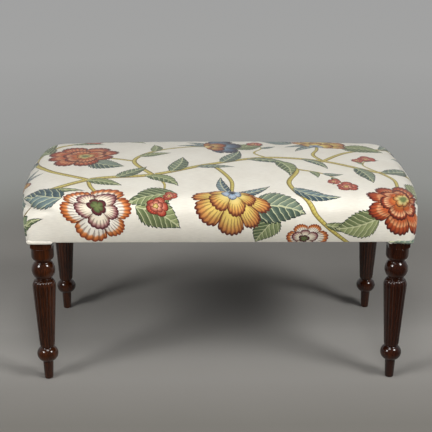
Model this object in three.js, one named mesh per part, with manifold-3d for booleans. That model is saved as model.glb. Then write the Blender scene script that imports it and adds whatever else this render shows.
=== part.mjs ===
// A long upholstered footstool. Four turned and reeded mahogany legs carry a dowelled
// beech frame with screwed corner blocks. Jute webbing, hessian, foam and wadding fill the
// seat, under a printed linen cover that is turned under the rails, with a black dust
// cover below. Millimetres, +Z up, the origin on the floor under the seat's middle, the
// long way along X and the front towards -Y.
import * as THREE from "three";
import { mergeVertices } from "three/addons/utils/BufferGeometryUtils.js";
import Module from "manifold-3d";

const wasm = await Module();
wasm.setup();

// Frame
const legSpacingLong = 776; // leg centre to leg centre along the front
const legSpacingDeep = 378; // leg centre to leg centre along an end
const blockSide = 47; // square block at a leg's head, planed down after the turning
const railHeight = 40;
const railThickness = 22;
const railEdgeRound = 5; // rounded upper outer edge, so that it doesn't cut the padding
const fitGap = 0.3; // glue line or slack between neighbouring pieces
const overrun = 2; // how far a cutter passes the face that it cuts

// Leg, from the floor up
const pegHeight = 44;
const pegFootDiameter = 19.5;
const pegTopDiameter = 23.5;
const pegFootRound = 2.5;
const ringHeight = 36;
const ringDiameter = 47.5;
const waistDiameter = 28;
const shaftLength = 163; // from the waist to the neck under the ball
const shaftLowerDiameter = 33.5;
const shaftUpperDiameter = 51.5;
const shaftFootRound = 6; // height over which the reeds close on the waist
const shaftShoulder = 15; // height over which the reeds dome in to the neck
const neckDiameter = 34;
const neckHeight = 4.5;
const ballDiameter = 51.5;
const collarDiameter = 50;
const collarRound = 10; // height of the collar's rounded lower edge
const collarHeight = 20; // straight part of the collar, under the square block
const pommelHeight = 7; // turned shoulder on the block's lower corners
const blockShowing = 20.5; // bare length of the block under the rails
const reedCount = 16;
const reedDepth = 1.9;

// Dowels, corner blocks and their screws
const dowelDiameter = 10;
const dowelLength = 50;
const dowelChamfer = 1.2;
const dowelFromEdge = 11; // from the rail's upper or lower edge to a dowel's axis
const braceReach = 100; // along each rail, from the leg's axis
const braceHeight = 30;
const braceDrop = 5; // from the rail's top down to the corner block
const screwAlongRail = 62; // from the leg's axis to a screw
const screwShankDiameter = 4.6;
const screwHeadDiameter = 9.2;
const screwHeadHeight = 2.8;
const screwLength = 40;
const screwBite = 16; // length of the screw inside the rail
const counterboreDiameter = 12;

// Webbing, hessian and dust cover
const webWidth = 50;
const webThickness = 1.6;
const webFoldLength = 17; // turned-back end that is tacked on the rail
const webEndInset = 2.5; // from the rail's outer face
const crossWebCount = 7;
const longWebCount = 3;
const crossWebPitchShare = 0.135; // of the length between the end rails
const longWebPitchShare = 0.268; // of the depth between the long rails
const hessianThickness = 0.8;
const hessianInset = 2;
const dustCoverThickness = 0.8;
const dustCoverInset = 9;

// Seat filling and cover
const coverThickness = 1.4;
const coverTurnUnder = 21; // width of the cover's strip under the rails
const waddingThickness = 6;
const waddingOverRail = 33; // how far the wadding comes down over the rails
const padEdgeHeight = 54; // from the hessian to the top of the rolled edge
const padCrown = 13; // rise of the middle over the rolled edge
const lowerStandOut = 5.5; // how far the cover's lower edge stands out from the frame
const endBulge = 10; // the same at the widest level, at an end's corners
const sideBulge = 9; // the same along the front and the back
const padBow = 20; // extra at the middle of each side, at the widest level
const rollReach = 36; // width of the rolled upper edge, seen from above
const rollRise = 27; // height of the rolled upper edge
const lowerCornerRadius = 12; // plan radius of the cover at the rails
const bulgeCornerRadius = 80; // the same at the widest level
const topCornerRadius = 24; // the same where the rolled edge meets the top
const cushionCornerSteps = 4;
const cushionLongSteps = 6;
const cushionDeepSteps = 3;
const cushionWallSteps = 4;
const cushionRollSteps = 5;
const cushionTopShares = [0.7, 0.35]; // rings between the rolled edge and the middle

// Facets
const turnedSides = 20;
const dowelSides = 10;
const screwSides = 8;
const stepsPerReed = 4;
const mergeTolerance = 1e-4;

// Heights that follow from the sizes above
const halfBlock = blockSide / 2;
const waistLevel = pegHeight + ringHeight;
const shaftTopLevel = waistLevel + shaftLength;
const ballChord = Math.sqrt(ballDiameter ** 2 - neckDiameter ** 2); // ball's height between its necks
const ballLevel = shaftTopLevel + neckHeight + ballChord / 2;
const collarLevel = ballLevel + ballChord / 2 + neckHeight;
const blockLevel = collarLevel + collarRound + collarHeight;
const railLevel = blockLevel + blockShowing;
const railTopLevel = railLevel + railHeight;
const webLevel = railTopLevel + fitGap;
const hessianLevel = webLevel + 2 * webThickness + fitGap;
const foamLevel = hessianLevel + hessianThickness + fitGap;
const frameHalfLong = legSpacingLong / 2 + halfBlock;
const frameHalfDeep = legSpacingDeep / 2 + halfBlock;
const crossWebPitch = crossWebPitchShare * 2 * (frameHalfLong - railThickness);
const longWebPitch = longWebPitchShare * 2 * (frameHalfDeep - railThickness);
const railCentreFromLeg = halfBlock - railThickness / 2; // from a leg's axis to a rail's middle plane
const dowelLevels = [railLevel + dowelFromEdge, railTopLevel - dowelFromEdge];
const screwLevel = railTopLevel - braceDrop - braceHeight / 2;
const screwTipFromLeg = railThickness - halfBlock - screwBite; // from a leg's axis, across the rail
const coverLevel = railLevel - fitGap - coverThickness;
const dustCoverLevel = coverLevel - fitGap - dustCoverThickness;
const bulgeLevel = foamLevel + padEdgeHeight - rollRise;
const waddingInset = coverThickness + fitGap; // from the cover's outer surface
const foamInset = waddingInset + waddingThickness + fitGap;

// Corners counterclockwise from the front left
const cornerNames = ["front_left", "front_right", "back_right", "back_left"];
const cornerSides = [
  [-1, -1],
  [1, -1],
  [1, 1],
  [-1, 1],
];

const mahogany = new THREE.MeshStandardMaterial({ color: 0x35170d, roughness: 0.22, metalness: 0 });
const beech = new THREE.MeshStandardMaterial({ color: 0xc49a6c, roughness: 0.65, metalness: 0 });
const steel = new THREE.MeshStandardMaterial({ color: 0xb9a66a, roughness: 0.35, metalness: 1 });
const jute = new THREE.MeshStandardMaterial({ color: 0x9c8054, roughness: 0.95, metalness: 0 });
const sacking = new THREE.MeshStandardMaterial({ color: 0xb39a6e, roughness: 0.95, metalness: 0 });
const foam = new THREE.MeshStandardMaterial({ color: 0xe6d9a8, roughness: 0.95, metalness: 0 });
const polyester = new THREE.MeshStandardMaterial({ color: 0xefefec, roughness: 1, metalness: 0 });
const linen = new THREE.MeshStandardMaterial({ color: 0xe3ddcf, roughness: 0.85, metalness: 0 });
const cambric = new THREE.MeshStandardMaterial({ color: 0x17171a, roughness: 0.9, metalness: 0 });

// A closed geometry as a solid that can be cut and joined
function solidOf(geometry) {
  const plain = geometry.index ? geometry.toNonIndexed() : geometry.clone();
  plain.deleteAttribute("normal");
  plain.deleteAttribute("uv");
  const merged = mergeVertices(plain, mergeTolerance);
  return new wasm.Manifold(
    new wasm.Mesh({
      numProp: 3,
      vertProperties: merged.attributes.position.array,
      triVerts: new Uint32Array(merged.index.array),
    }),
  );
}

// A solid back as a geometry
function geometryOf(solid) {
  const mesh = solid.getMesh();
  const positions = new Float32Array(mesh.numVert * 3);
  for (let vertex = 0; vertex < mesh.numVert; vertex += 1) {
    const start = vertex * mesh.numProp;
    positions.set(mesh.vertProperties.subarray(start, start + 3), vertex * 3);
  }
  const geometry = new THREE.BufferGeometry();
  geometry.setAttribute("position", new THREE.BufferAttribute(positions, 3));
  geometry.setIndex(new THREE.BufferAttribute(new Uint32Array(mesh.triVerts), 1));
  geometry.computeVertexNormals();
  return geometry;
}

function meshOf(name, geometry, material) {
  const mesh = new THREE.Mesh(geometry, material);
  mesh.name = name;
  return mesh;
}

// A turned form about +Z from its [radius, height] profile, from the lower axis point up
function turned(profile, sides) {
  const points = profile.map(([radius, height]) => new THREE.Vector2(radius, height));
  return new THREE.LatheGeometry(points, sides).rotateX(Math.PI / 2);
}

// A closed box between two corners
function boxBetween(low, high) {
  const size = high.map((value, axis) => value - low[axis]);
  const middle = high.map((value, axis) => (value + low[axis]) / 2);
  return new THREE.BoxGeometry(...size).translate(...middle);
}

// A flat outline in X and Y raised to a slab between two heights
function slab(outline, low, high) {
  const shape = new THREE.Shape(outline.map(([x, y]) => new THREE.Vector2(x, y)));
  const geometry = new THREE.ExtrudeGeometry(shape, { depth: high - low, bevelEnabled: false });
  return geometry.translate(0, 0, low);
}

// [radius, height] points on an ellipse about a centre, between two angles from the horizontal
function arcPoints(centre, radii, fromAngle, toAngle, steps) {
  return Array.from({ length: steps + 1 }, (_, step) => {
    const angle = fromAngle + ((toAngle - fromAngle) * step) / steps;
    return [centre[0] + radii[0] * Math.cos(angle), centre[1] + radii[1] * Math.sin(angle)];
  });
}

// Rows of [x, y, z] points, each a closed ring, joined from the lowest up and closed with
// a point under the first row and a point over the last
function closedRings(rows, lowPoint, highPoint) {
  const columns = rows[0].length;
  const last = rows.length - 1;
  const highIndex = 1 + (last + 1) * columns;
  const at = (row, column) => 1 + row * columns + (column % columns);
  const faces = [];
  for (let column = 0; column < columns; column += 1) {
    faces.push(0, at(0, column + 1), at(0, column));
    for (let row = 0; row < last; row += 1) {
      faces.push(at(row, column), at(row, column + 1), at(row + 1, column + 1));
      faces.push(at(row, column), at(row + 1, column + 1), at(row + 1, column));
    }
    faces.push(highIndex, at(last, column), at(last, column + 1));
  }
  const geometry = new THREE.BufferGeometry();
  const positions = [...lowPoint, ...rows.flat(2), ...highPoint];
  geometry.setAttribute("position", new THREE.Float32BufferAttribute(positions, 3));
  geometry.setIndex(faces);
  return geometry;
}

// Foot peg, ring and waist of a leg, run a little way up into the shaft
function legFoot() {
  const footRadius = pegFootDiameter / 2;
  const pegRadius = pegTopDiameter / 2;
  const waistRadius = waistDiameter / 2;
  const ringRadius = ringDiameter / 2;
  const ringSteps = 6;
  const coreShare = 0.25; // of the ring's radius, where its round edge is centred
  const coreRadius = ringRadius * coreShare;
  const bulge = ringRadius - coreRadius;
  const halfRing = ringHeight / 2;
  const lowAngle = -Math.acos((pegRadius - coreRadius) / bulge);
  const highAngle = Math.acos((waistRadius - coreRadius) / bulge);
  return [
    [0, 0],
    [footRadius - pegFootRound, 0],
    [footRadius, pegFootRound],
    ...arcPoints([coreRadius, pegHeight + halfRing], [bulge, halfRing], lowAngle, highAngle, ringSteps),
    [waistRadius, waistLevel + overrun],
    [0, waistLevel + overrun],
  ];
}

// Neck, ball, second neck and collar, run a little way down into the shaft
function legHead() {
  const neckRadius = neckDiameter / 2;
  const ballRadius = ballDiameter / 2;
  const ballSteps = 7;
  const collarSteps = 3;
  const ballAngle = Math.acos(neckRadius / ballRadius);
  return [
    [0, shaftTopLevel - overrun],
    [neckRadius, shaftTopLevel - overrun],
    ...arcPoints([0, ballLevel], [ballRadius, ballRadius], -ballAngle, ballAngle, ballSteps),
    ...arcPoints(
      [neckRadius, collarLevel + collarRound],
      [collarDiameter / 2 - neckRadius, collarRound],
      -Math.PI / 2,
      0,
      collarSteps,
    ),
    [collarDiameter / 2, blockLevel],
    [0, blockLevel],
  ];
}

// Tapered shaft with round reeds. Each level is a ring of points whose radius swells on a
// reed and drops by the reed depth in the groove between two reeds. The reeds close on the
// waist below and dome in to the neck above.
function reededShaft() {
  const lowerRadius = shaftLowerDiameter / 2;
  const upperRadius = shaftUpperDiameter / 2;
  const waistRadius = waistDiameter / 2;
  const neckRadius = neckDiameter / 2;
  const shoulderLevel = shaftTopLevel - shaftShoulder;
  const footShares = [0, 0.6, 1]; // of the foot's height
  const shoulderAngles = [0, Math.PI / 5, (2 * Math.PI) / 5, Math.PI / 2];
  const levels = [
    ...footShares.map((share) => ({
      radius: waistRadius + (lowerRadius - waistRadius) * Math.sqrt(share),
      level: waistLevel + shaftFootRound * share,
      depth: reedDepth * Math.sqrt(share),
    })),
    ...shoulderAngles.map((angle) => ({
      radius: neckRadius + (upperRadius - neckRadius) * Math.cos(angle),
      level: shoulderLevel + shaftShoulder * Math.sin(angle),
      depth: reedDepth * Math.cos(angle),
    })),
  ];
  const columns = reedCount * stepsPerReed;
  const rows = levels.map(({ radius, level, depth }) =>
    Array.from({ length: columns }, (_, column) => {
      // -1 in the groove, 0 on the crest
      const acrossShare = (2 * (column % stepsPerReed)) / stepsPerReed - 1;
      const here = radius - depth * acrossShare ** 2;
      const angle = (2 * Math.PI * column) / columns;
      return [here * Math.cos(angle), here * Math.sin(angle), level];
    }),
  );
  return closedRings(rows, [0, 0, waistLevel], [0, 0, shaftTopLevel]);
}

// A dowel about +Z with chamfered ends, centred on the origin
function dowelForm() {
  const radius = dowelDiameter / 2;
  const half = dowelLength / 2;
  const profile = [
    [0, -half],
    [radius - dowelChamfer, -half],
    [radius, dowelChamfer - half],
    [radius, half - dowelChamfer],
    [radius - dowelChamfer, half],
    [0, half],
  ];
  return turned(profile, dowelSides);
}

// A plain hole cutter about +Z, centred on the origin
function holeForm(radius, length, sides) {
  const half = length / 2;
  const profile = [
    [0, -half],
    [radius, -half],
    [radius, half],
    [0, half],
  ];
  return turned(profile, sides);
}

// Places a form made about +Z so that it points along the long rail or the end rail of the
// corner at the front left, whose leg stands on the origin
function alongRail(geometry, rail, distance, level) {
  if (rail === "long") {
    return geometry.rotateY(Math.PI / 2).translate(distance, -railCentreFromLeg, level);
  }
  return geometry.rotateX(-Math.PI / 2).translate(-railCentreFromLeg, distance, level);
}

// A whole leg: turned foot, reeded shaft, turned head and the square block, whose lower
// corners are turned to a pommel, with the dowel holes of its two rails
function legSolid() {
  const cornerRadius = halfBlock * Math.SQRT2;
  const pommelSteps = 3;
  const pommel = turned(
    [
      [0, blockLevel],
      ...arcPoints(
        [halfBlock, blockLevel + pommelHeight],
        [cornerRadius - halfBlock, pommelHeight],
        -Math.PI / 2,
        0,
        pommelSteps,
      ),
      [cornerRadius + overrun, blockLevel + pommelHeight],
      [cornerRadius + overrun, railTopLevel + overrun],
      [0, railTopLevel + overrun],
    ],
    turnedSides * 2,
  );
  const square = boxBetween(
    [-halfBlock, -halfBlock, blockLevel],
    [halfBlock, halfBlock, railTopLevel],
  );
  let leg = solidOf(square)
    .intersect(solidOf(pommel))
    .add(solidOf(turned(legHead(), turnedSides)))
    .add(solidOf(reededShaft()))
    .add(solidOf(turned(legFoot(), turnedSides)));
  for (const level of dowelLevels) {
    for (const rail of ["long", "end"]) {
      const hole = holeForm(dowelDiameter / 2 + fitGap, dowelLength + 2 * fitGap, dowelSides);
      leg = leg.subtract(solidOf(alongRail(hole, rail, halfBlock, level)));
    }
  }
  return leg;
}

// The corner block's plan, notched round the leg, with the leg's axis on the origin
function braceSolid() {
  const againstRail = railThickness - halfBlock + fitGap;
  const againstLeg = halfBlock + fitGap;
  const top = railTopLevel - braceDrop;
  const outline = [
    [againstLeg, againstRail],
    [braceReach, againstRail],
    [againstRail, braceReach],
    [againstRail, againstLeg],
    [againstLeg, againstLeg],
  ];
  let brace = solidOf(slab(outline, top - braceHeight, top));
  for (const rail of ["long", "end"]) {
    for (const cutter of [screwHoleForm(), counterboreForm()]) {
      brace = brace.subtract(solidOf(throughBrace(cutter, rail)));
    }
  }
  return brace;
}

// Places a form whose screw tip is on the origin and that points along +Z, into the corner
// block from its slanting face towards one of the two rails
function throughBrace(geometry, rail) {
  if (rail === "long") {
    return geometry.rotateX(-Math.PI / 2).translate(screwAlongRail, screwTipFromLeg, screwLevel);
  }
  return geometry.rotateY(Math.PI / 2).translate(screwTipFromLeg, screwAlongRail, screwLevel);
}

// Countersunk screw with its tip on the origin and its head up
function screwForm() {
  const shank = screwShankDiameter / 2;
  const head = screwHeadDiameter / 2;
  const tipTaper = screwShankDiameter;
  return turned(
    [
      [0, 0],
      [shank, tipTaper],
      [shank, screwLength - screwHeadHeight],
      [head, screwLength],
      [0, screwLength],
    ],
    screwSides,
  );
}

function screwHoleForm() {
  const shank = screwShankDiameter / 2 + fitGap;
  const head = screwHeadDiameter / 2 + fitGap;
  const seat = screwLength - screwHeadHeight - fitGap;
  return turned(
    [
      [0, -fitGap],
      [shank, -fitGap],
      [shank, seat],
      [head, screwLength],
      [0, screwLength],
    ],
    screwSides,
  );
}

function counterboreForm() {
  const radius = counterboreDiameter / 2;
  const length = braceReach + overrun;
  return holeForm(radius, length, turnedSides).translate(0, 0, screwLength - overrun / 2 + length / 2);
}

// A rail along +X with its outer face towards -Y, from its middle section
function railSolid(span) {
  const half = span / 2 - halfBlock - fitGap;
  const roundSteps = 3;
  const outer = -railThickness / 2;
  const round = arcPoints(
    [outer + railEdgeRound, railTopLevel - railEdgeRound],
    [railEdgeRound, railEdgeRound],
    Math.PI,
    Math.PI / 2,
    roundSteps,
  );
  const section = [[outer, railLevel], ...round, [-outer, railTopLevel], [-outer, railLevel]];
  const shape = new THREE.Shape(section.map(([y, z]) => new THREE.Vector2(y, z)).reverse());
  const bar = new THREE.ExtrudeGeometry(shape, { depth: 2 * half, bevelEnabled: false });
  bar.rotateX(Math.PI / 2).rotateZ(Math.PI / 2).translate(-half, 0, 0);
  let rail = solidOf(bar);
  for (const side of [-1, 1]) {
    for (const level of dowelLevels) {
      const hole = holeForm(dowelDiameter / 2 + fitGap, dowelLength + 2 * fitGap, dowelSides);
      hole.rotateY(Math.PI / 2).translate(side * (span / 2 - halfBlock), 0, level);
      rail = rail.subtract(solidOf(hole));
    }
    const pilot = holeForm(screwShankDiameter / 2 + fitGap, 2 * (screwBite + fitGap), screwSides);
    pilot.rotateX(Math.PI / 2).translate(side * (span / 2 - screwAlongRail), -outer, screwLevel);
    rail = rail.subtract(solidOf(pilot));
  }
  return rail;
}

// A webbing strip along +X, drawn from the side and given its width. It lies flat on two
// rails with its ends turned back over it, and weaves over and under the strips it crosses.
function webForm(halfLength, crossings, firstOver) {
  const lift = (webThickness + fitGap) / 2; // half the distance between two strips that cross
  const flat = webWidth / 2 + fitGap;
  const middle = webLevel + webThickness / 2;
  const line = [];
  crossings.forEach((place, index) => {
    const over = (index % 2 === 0) === firstOver ? lift : -lift;
    line.push([place - flat, middle + over], [place + flat, middle + over]);
  });
  const innerEnd = halfLength - webFoldLength;
  const half = webThickness / 2;
  const under = [[-halfLength, middle], ...line, [halfLength, middle]].map(([x, z]) => [x, z - half]);
  const over = [
    [-halfLength, middle + webThickness],
    [-innerEnd, middle + webThickness],
    [-innerEnd, middle],
    ...line,
    [innerEnd, middle],
    [innerEnd, middle + webThickness],
    [halfLength, middle + webThickness],
  ].map(([x, z]) => [x, z + half]);
  const shape = new THREE.Shape([...under, ...over.reverse()].map(([x, z]) => new THREE.Vector2(x, z)));
  const strip = new THREE.ExtrudeGeometry(shape, { depth: webWidth, bevelEnabled: false });
  return strip.translate(0, 0, -webWidth / 2).rotateX(Math.PI / 2);
}

// Places of evenly spaced strips about the middle
function spread(count, pitch) {
  return Array.from({ length: count }, (_, index) => (index - (count - 1) / 2) * pitch);
}

// A rounded rectangle whose sides bow out in their middles, counterclockwise from the right
function cushionOutline(halfLong, halfDeep, radius, bow) {
  const arcs = [1, 2, 3, 4].map((quarter) => {
    const sideX = quarter === 1 || quarter === 4 ? 1 : -1;
    const sideY = quarter < 3 ? 1 : -1;
    const centre = [sideX * (halfLong - radius), sideY * (halfDeep - radius)];
    const to = (quarter * Math.PI) / 2;
    return arcPoints(centre, [radius, radius], to - Math.PI / 2, to, cushionCornerSteps);
  });
  const points = arcs.flatMap((arc, index) => {
    const start = arc[cushionCornerSteps];
    const end = arcs[(index + 1) % arcs.length][0];
    const steps = index % 2 === 0 ? cushionLongSteps : cushionDeepSteps;
    const between = Array.from({ length: steps - 1 }, (_, step) => (step + 1) / steps);
    return [
      ...arc,
      ...between.map((share) => start.map((value, axis) => value + (end[axis] - value) * share)),
    ];
  });
  return points.map(([x, y]) => {
    const alongShare = x / halfLong;
    const acrossShare = y / halfDeep;
    return [x + bow * alongShare * (1 - acrossShare ** 2), y + bow * acrossShare * (1 - alongShare ** 2)];
  });
}

// The padded seat's closed form, taken in by an inset from the cover's outer surface. Its
// wall swells from the lower edge to the widest level on a quarter sine. Its corners grow
// rounder with the fourth power of the height, so that they clear the frame's square corners.
// Above that it rolls in on a quarter ellipse and rises to a crown.
function cushionForm(inset) {
  const rings = [];
  for (let step = 0; step <= cushionWallSteps; step += 1) {
    const share = step / cushionWallSteps;
    const swell = Math.sin((share * Math.PI) / 2);
    rings.push({
      level: coverLevel + (bulgeLevel - coverLevel) * share,
      outLong: lowerStandOut + (endBulge - lowerStandOut) * swell - inset,
      outDeep: lowerStandOut + (sideBulge - lowerStandOut) * swell - inset,
      corner: lowerCornerRadius + (bulgeCornerRadius - lowerCornerRadius) * share ** 4 - inset,
      bow: padBow * swell,
      crown: 0,
    });
  }
  for (let step = 1; step <= cushionRollSteps; step += 1) {
    const angle = (Math.PI * step) / (2 * cushionRollSteps);
    const rolledIn = (rollReach - inset) * (1 - Math.cos(angle)) + inset;
    rings.push({
      level: bulgeLevel + (rollRise - inset) * Math.sin(angle),
      outLong: endBulge - rolledIn,
      outDeep: sideBulge - rolledIn,
      corner: bulgeCornerRadius + (topCornerRadius - bulgeCornerRadius) * Math.sin(angle) - inset,
      bow: padBow,
      crown: Math.sin(angle),
    });
  }
  return ringForm(rings);
}

// The same form without what lies under a level
function cushionAbove(inset, level) {
  const far = 2 * frameHalfLong;
  return solidOf(cushionForm(inset)).subtract(solidOf(boxBetween([-far, -far, 0], [far, far, level])));
}

// The crown's height over the rolled edge at a place on the top: flat along most of the
// length and arched across it
function crownRise(x, y) {
  return padCrown * (1 - (x / frameHalfLong) ** 4) * (1 - (y / frameHalfDeep) ** 2);
}

// Joins the rings of a cushion, with a flat foot and a crowned top that shrinks to its middle
function ringForm(rings) {
  const rows = rings.map(({ level, outLong, outDeep, corner, bow, crown }) => {
    const outline = cushionOutline(frameHalfLong + outLong, frameHalfDeep + outDeep, corner, bow);
    return outline.map(([x, y]) => [x, y, level + crownRise(x, y) * crown]);
  });
  const rim = rows[rows.length - 1];
  const topLevel = rings[rings.length - 1].level;
  for (const share of cushionTopShares) {
    rows.push(rim.map(([x, y]) => [x * share, y * share, topLevel + crownRise(x * share, y * share)]));
  }
  return closedRings(rows, [0, 0, rings[0].level], [0, 0, topLevel + padCrown]);
}

// Frame and everything on it, taken out of the soft layers from below
function framePrism(low, high) {
  return solidOf(
    boxBetween(
      [-frameHalfLong - fitGap, -frameHalfDeep - fitGap, low],
      [frameHalfLong + fitGap, frameHalfDeep + fitGap, high],
    ),
  );
}

function foamSolid() {
  return cushionAbove(foamInset, foamLevel);
}

// Wadding over the foam and down over the rails, thick enough to fill the space between
// them and the cover
function waddingSolid() {
  return cushionAbove(waddingInset, railTopLevel - waddingOverRail)
    .subtract(cushionAbove(waddingInset + waddingThickness, foamLevel - fitGap))
    .subtract(framePrism(0, foamLevel));
}

// The cover: a shell round the whole seat with a strip turned under the rails, open in the
// middle of its underside and cut away round each leg
function coverSolid() {
  const opening = boxBetween(
    [coverTurnUnder - frameHalfLong, coverTurnUnder - frameHalfDeep, coverLevel - overrun],
    [frameHalfLong - coverTurnUnder, frameHalfDeep - coverTurnUnder, railLevel + overrun],
  );
  let cover = solidOf(cushionForm(0))
    .subtract(cushionAbove(coverThickness, railLevel - fitGap))
    .subtract(solidOf(opening));
  for (const [sideX, sideY] of cornerSides) {
    const reach = halfBlock + fitGap;
    const block = boxBetween([-reach, -reach, coverLevel - overrun], [reach, reach, railLevel]);
    block.translate((sideX * legSpacingLong) / 2, (sideY * legSpacingDeep) / 2, 0);
    cover = cover.subtract(solidOf(block));
  }
  return cover;
}

// The hessian lies over the webbing, and the foam on it
function hessianForm() {
  const far = [frameHalfLong - hessianInset, frameHalfDeep - hessianInset];
  return boxBetween([-far[0], -far[1], hessianLevel], [...far, hessianLevel + hessianThickness]);
}

// The dust cover closes the underside, its corners notched round the legs
function dustCoverForm() {
  const notch = blockSide + 2 * fitGap;
  const far = [frameHalfLong - dustCoverInset, frameHalfDeep - dustCoverInset];
  const near = [frameHalfLong - notch, frameHalfDeep - notch];
  const outline = cornerSides.flatMap(([sideX, sideY], index) => {
    const points = [
      [sideX * far[0], sideY * near[1]],
      [sideX * near[0], sideY * near[1]],
      [sideX * near[0], sideY * far[1]],
    ];
    return index % 2 === 0 ? points : points.reverse();
  });
  return slab(outline, dustCoverLevel, dustCoverLevel + dustCoverThickness);
}

const footstool = new THREE.Group();

// Four corners, each the front left one turned a quarter further about its leg
const legGeometry = geometryOf(legSolid());
const braceGeometry = geometryOf(braceSolid());
cornerNames.forEach((corner, index) => {
  const group = new THREE.Group();
  const [sideX, sideY] = cornerSides[index];
  group.position.set((sideX * legSpacingLong) / 2, (sideY * legSpacingDeep) / 2, 0);
  group.rotation.z = (index * Math.PI) / 2;
  group.add(meshOf(`leg_${corner}`, legGeometry, mahogany));
  group.add(meshOf(`corner_block_${corner}`, braceGeometry, beech));
  ["long", "end"].forEach((rail, turn) => {
    const side = turn === 0 ? "a" : "b";
    group.add(meshOf(`screw_${corner}_${side}`, throughBrace(screwForm(), rail), steel));
    dowelLevels.forEach((level, row) => {
      const dowel = alongRail(dowelForm(), rail, halfBlock, level);
      group.add(meshOf(`dowel_${corner}_${side}${row + 1}`, dowel, beech));
    });
  });
  footstool.add(group);
});

// Four rails, each turned a quarter further about the middle of the seat
["front_rail", "right_rail", "back_rail", "left_rail"].forEach((name, index) => {
  const [span, depth] = index % 2 === 0 ? [legSpacingLong, legSpacingDeep] : [legSpacingDeep, legSpacingLong];
  const group = new THREE.Group();
  group.rotation.z = (index * Math.PI) / 2;
  const rail = meshOf(name, geometryOf(railSolid(span)), beech);
  rail.position.y = -depth / 2 - railCentreFromLeg;
  group.add(rail);
  footstool.add(group);
});

// Interlaced webbing
const crossPlaces = spread(crossWebCount, crossWebPitch);
const longPlaces = spread(longWebCount, longWebPitch);
crossPlaces.forEach((place, index) => {
  const strip = webForm(frameHalfDeep - webEndInset, longPlaces, index % 2 === 0);
  strip.rotateZ(Math.PI / 2).translate(place, 0, 0);
  footstool.add(meshOf(`cross_web_${index + 1}`, strip, jute));
});
longPlaces.forEach((place, index) => {
  const strip = webForm(frameHalfLong - webEndInset, crossPlaces, index % 2 !== 0);
  strip.translate(0, place, 0);
  footstool.add(meshOf(`long_web_${index + 1}`, strip, jute));
});

// Sheets and padding
footstool.add(meshOf("hessian", hessianForm(), sacking));
footstool.add(meshOf("foam_pad", geometryOf(foamSolid()), foam));
footstool.add(meshOf("wadding", geometryOf(waddingSolid()), polyester));
footstool.add(meshOf("cover", geometryOf(coverSolid()), linen));
footstool.add(meshOf("dust_cover", dustCoverForm(), cambric));

export default footstool;
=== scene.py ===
import math
from functools import partial

import bpy
import numpy as np
from mathutils import Matrix, Vector


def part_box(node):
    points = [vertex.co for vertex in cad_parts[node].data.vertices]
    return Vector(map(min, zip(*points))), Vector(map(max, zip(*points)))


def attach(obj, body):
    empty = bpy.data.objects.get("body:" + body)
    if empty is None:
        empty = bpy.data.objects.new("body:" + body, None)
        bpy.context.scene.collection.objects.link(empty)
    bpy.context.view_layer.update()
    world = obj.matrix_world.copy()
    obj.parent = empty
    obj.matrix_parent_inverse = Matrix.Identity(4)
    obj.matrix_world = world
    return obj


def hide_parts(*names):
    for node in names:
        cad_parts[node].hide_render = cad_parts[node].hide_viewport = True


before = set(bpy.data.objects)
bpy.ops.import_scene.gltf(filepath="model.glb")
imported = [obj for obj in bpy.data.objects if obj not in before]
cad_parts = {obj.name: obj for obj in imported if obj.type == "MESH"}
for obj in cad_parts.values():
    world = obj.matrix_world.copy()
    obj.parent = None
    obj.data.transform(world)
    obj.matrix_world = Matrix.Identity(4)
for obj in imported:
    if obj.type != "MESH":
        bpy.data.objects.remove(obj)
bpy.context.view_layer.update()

mm = 0.001
chance = np.random.default_rng(27)
print("frame loaded")

stool = {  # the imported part's own sizes
    "legLong": 776,  # leg centre to leg centre along the front
    "legDeep": 378,
    "block": 47,
    "railThickness": 22,
    "railTop": 381.18,
    "foamLevel": 386.08,
    "coverLevel": 339.48,  # lowest face of the cover
    "fitGap": 0.3,
}
halfLong = stool["legLong"] / 2 + stool["block"] / 2  # the frame's outer faces
halfDeep = stool["legDeep"] / 2 + stool["block"] / 2
corners = {"front_left": (-1, -1), "front_right": (1, -1), "back_right": (1, 1), "back_left": (-1, 1)}


def smoothStep(value):  # 0 to 1 with level ends
    share = np.clip(value, 0, 1)
    return share * share * (3 - 2 * share)


# The corners of each cell of a grid, counterclockwise where its rows go up
def cellCorners(grid):
    return np.stack([grid[:-1, :-1], grid[:-1, 1:], grid[1:, 1:], grid[1:, :-1]], 2)


# Quads of a grid of points whose rows go up and whose columns go counterclockwise
def gridFaces(rows, columns, closed=False):
    index = np.arange(rows * columns).reshape(rows, columns)
    if closed:
        index = np.hstack([index, index[:, :1]])
    return cellCorners(index).reshape(-1, 4)


def pointList(x, y, z):  # three grids as a list of points
    return np.stack(np.broadcast_arrays(x, y, z), -1).reshape(-1, 3)


def runAlong(path):  # the length from the path's start to each of its points
    return np.concatenate([[0], np.cumsum(np.linalg.norm(np.diff(path, axis=0), axis=1))])


def leftOf(path):  # unit directions to the left of a flat path
    tangent = np.gradient(path, axis=0)
    return np.stack([-tangent[:, 1], tangent[:, 0]], -1) / np.linalg.norm(tangent, axis=1)[:, None]


def addObject(name, data):  # links it into the scene
    item = bpy.data.objects.new(name, data)
    bpy.context.scene.collection.objects.link(item)
    return item


def addMesh(name, points, faces):  # at the origin, from points in millimetres
    mesh = bpy.data.meshes.new(name)
    mesh.from_pydata((points * mm).tolist(), [], faces.tolist())
    return addObject(name, mesh)


def meshPiece(name, points, faces, material):  # a smooth piece that rides on the stool
    piece = addMesh(name, points, faces)
    mesh = piece.data
    mesh.polygons.foreach_set("use_smooth", np.ones(len(mesh.polygons), dtype=bool))
    mesh.materials.append(material)
    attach(piece, "root")
    return piece


# Points on an ellipse as radius and height, between two angles in degrees
def arc(centre, radii, fromAngle, toAngle, steps):
    angle = np.radians(np.linspace(fromAngle, toAngle, steps))
    return np.stack([centre[0] + radii[0] * np.cos(angle), centre[1] + radii[1] * np.sin(angle)], -1)


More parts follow.
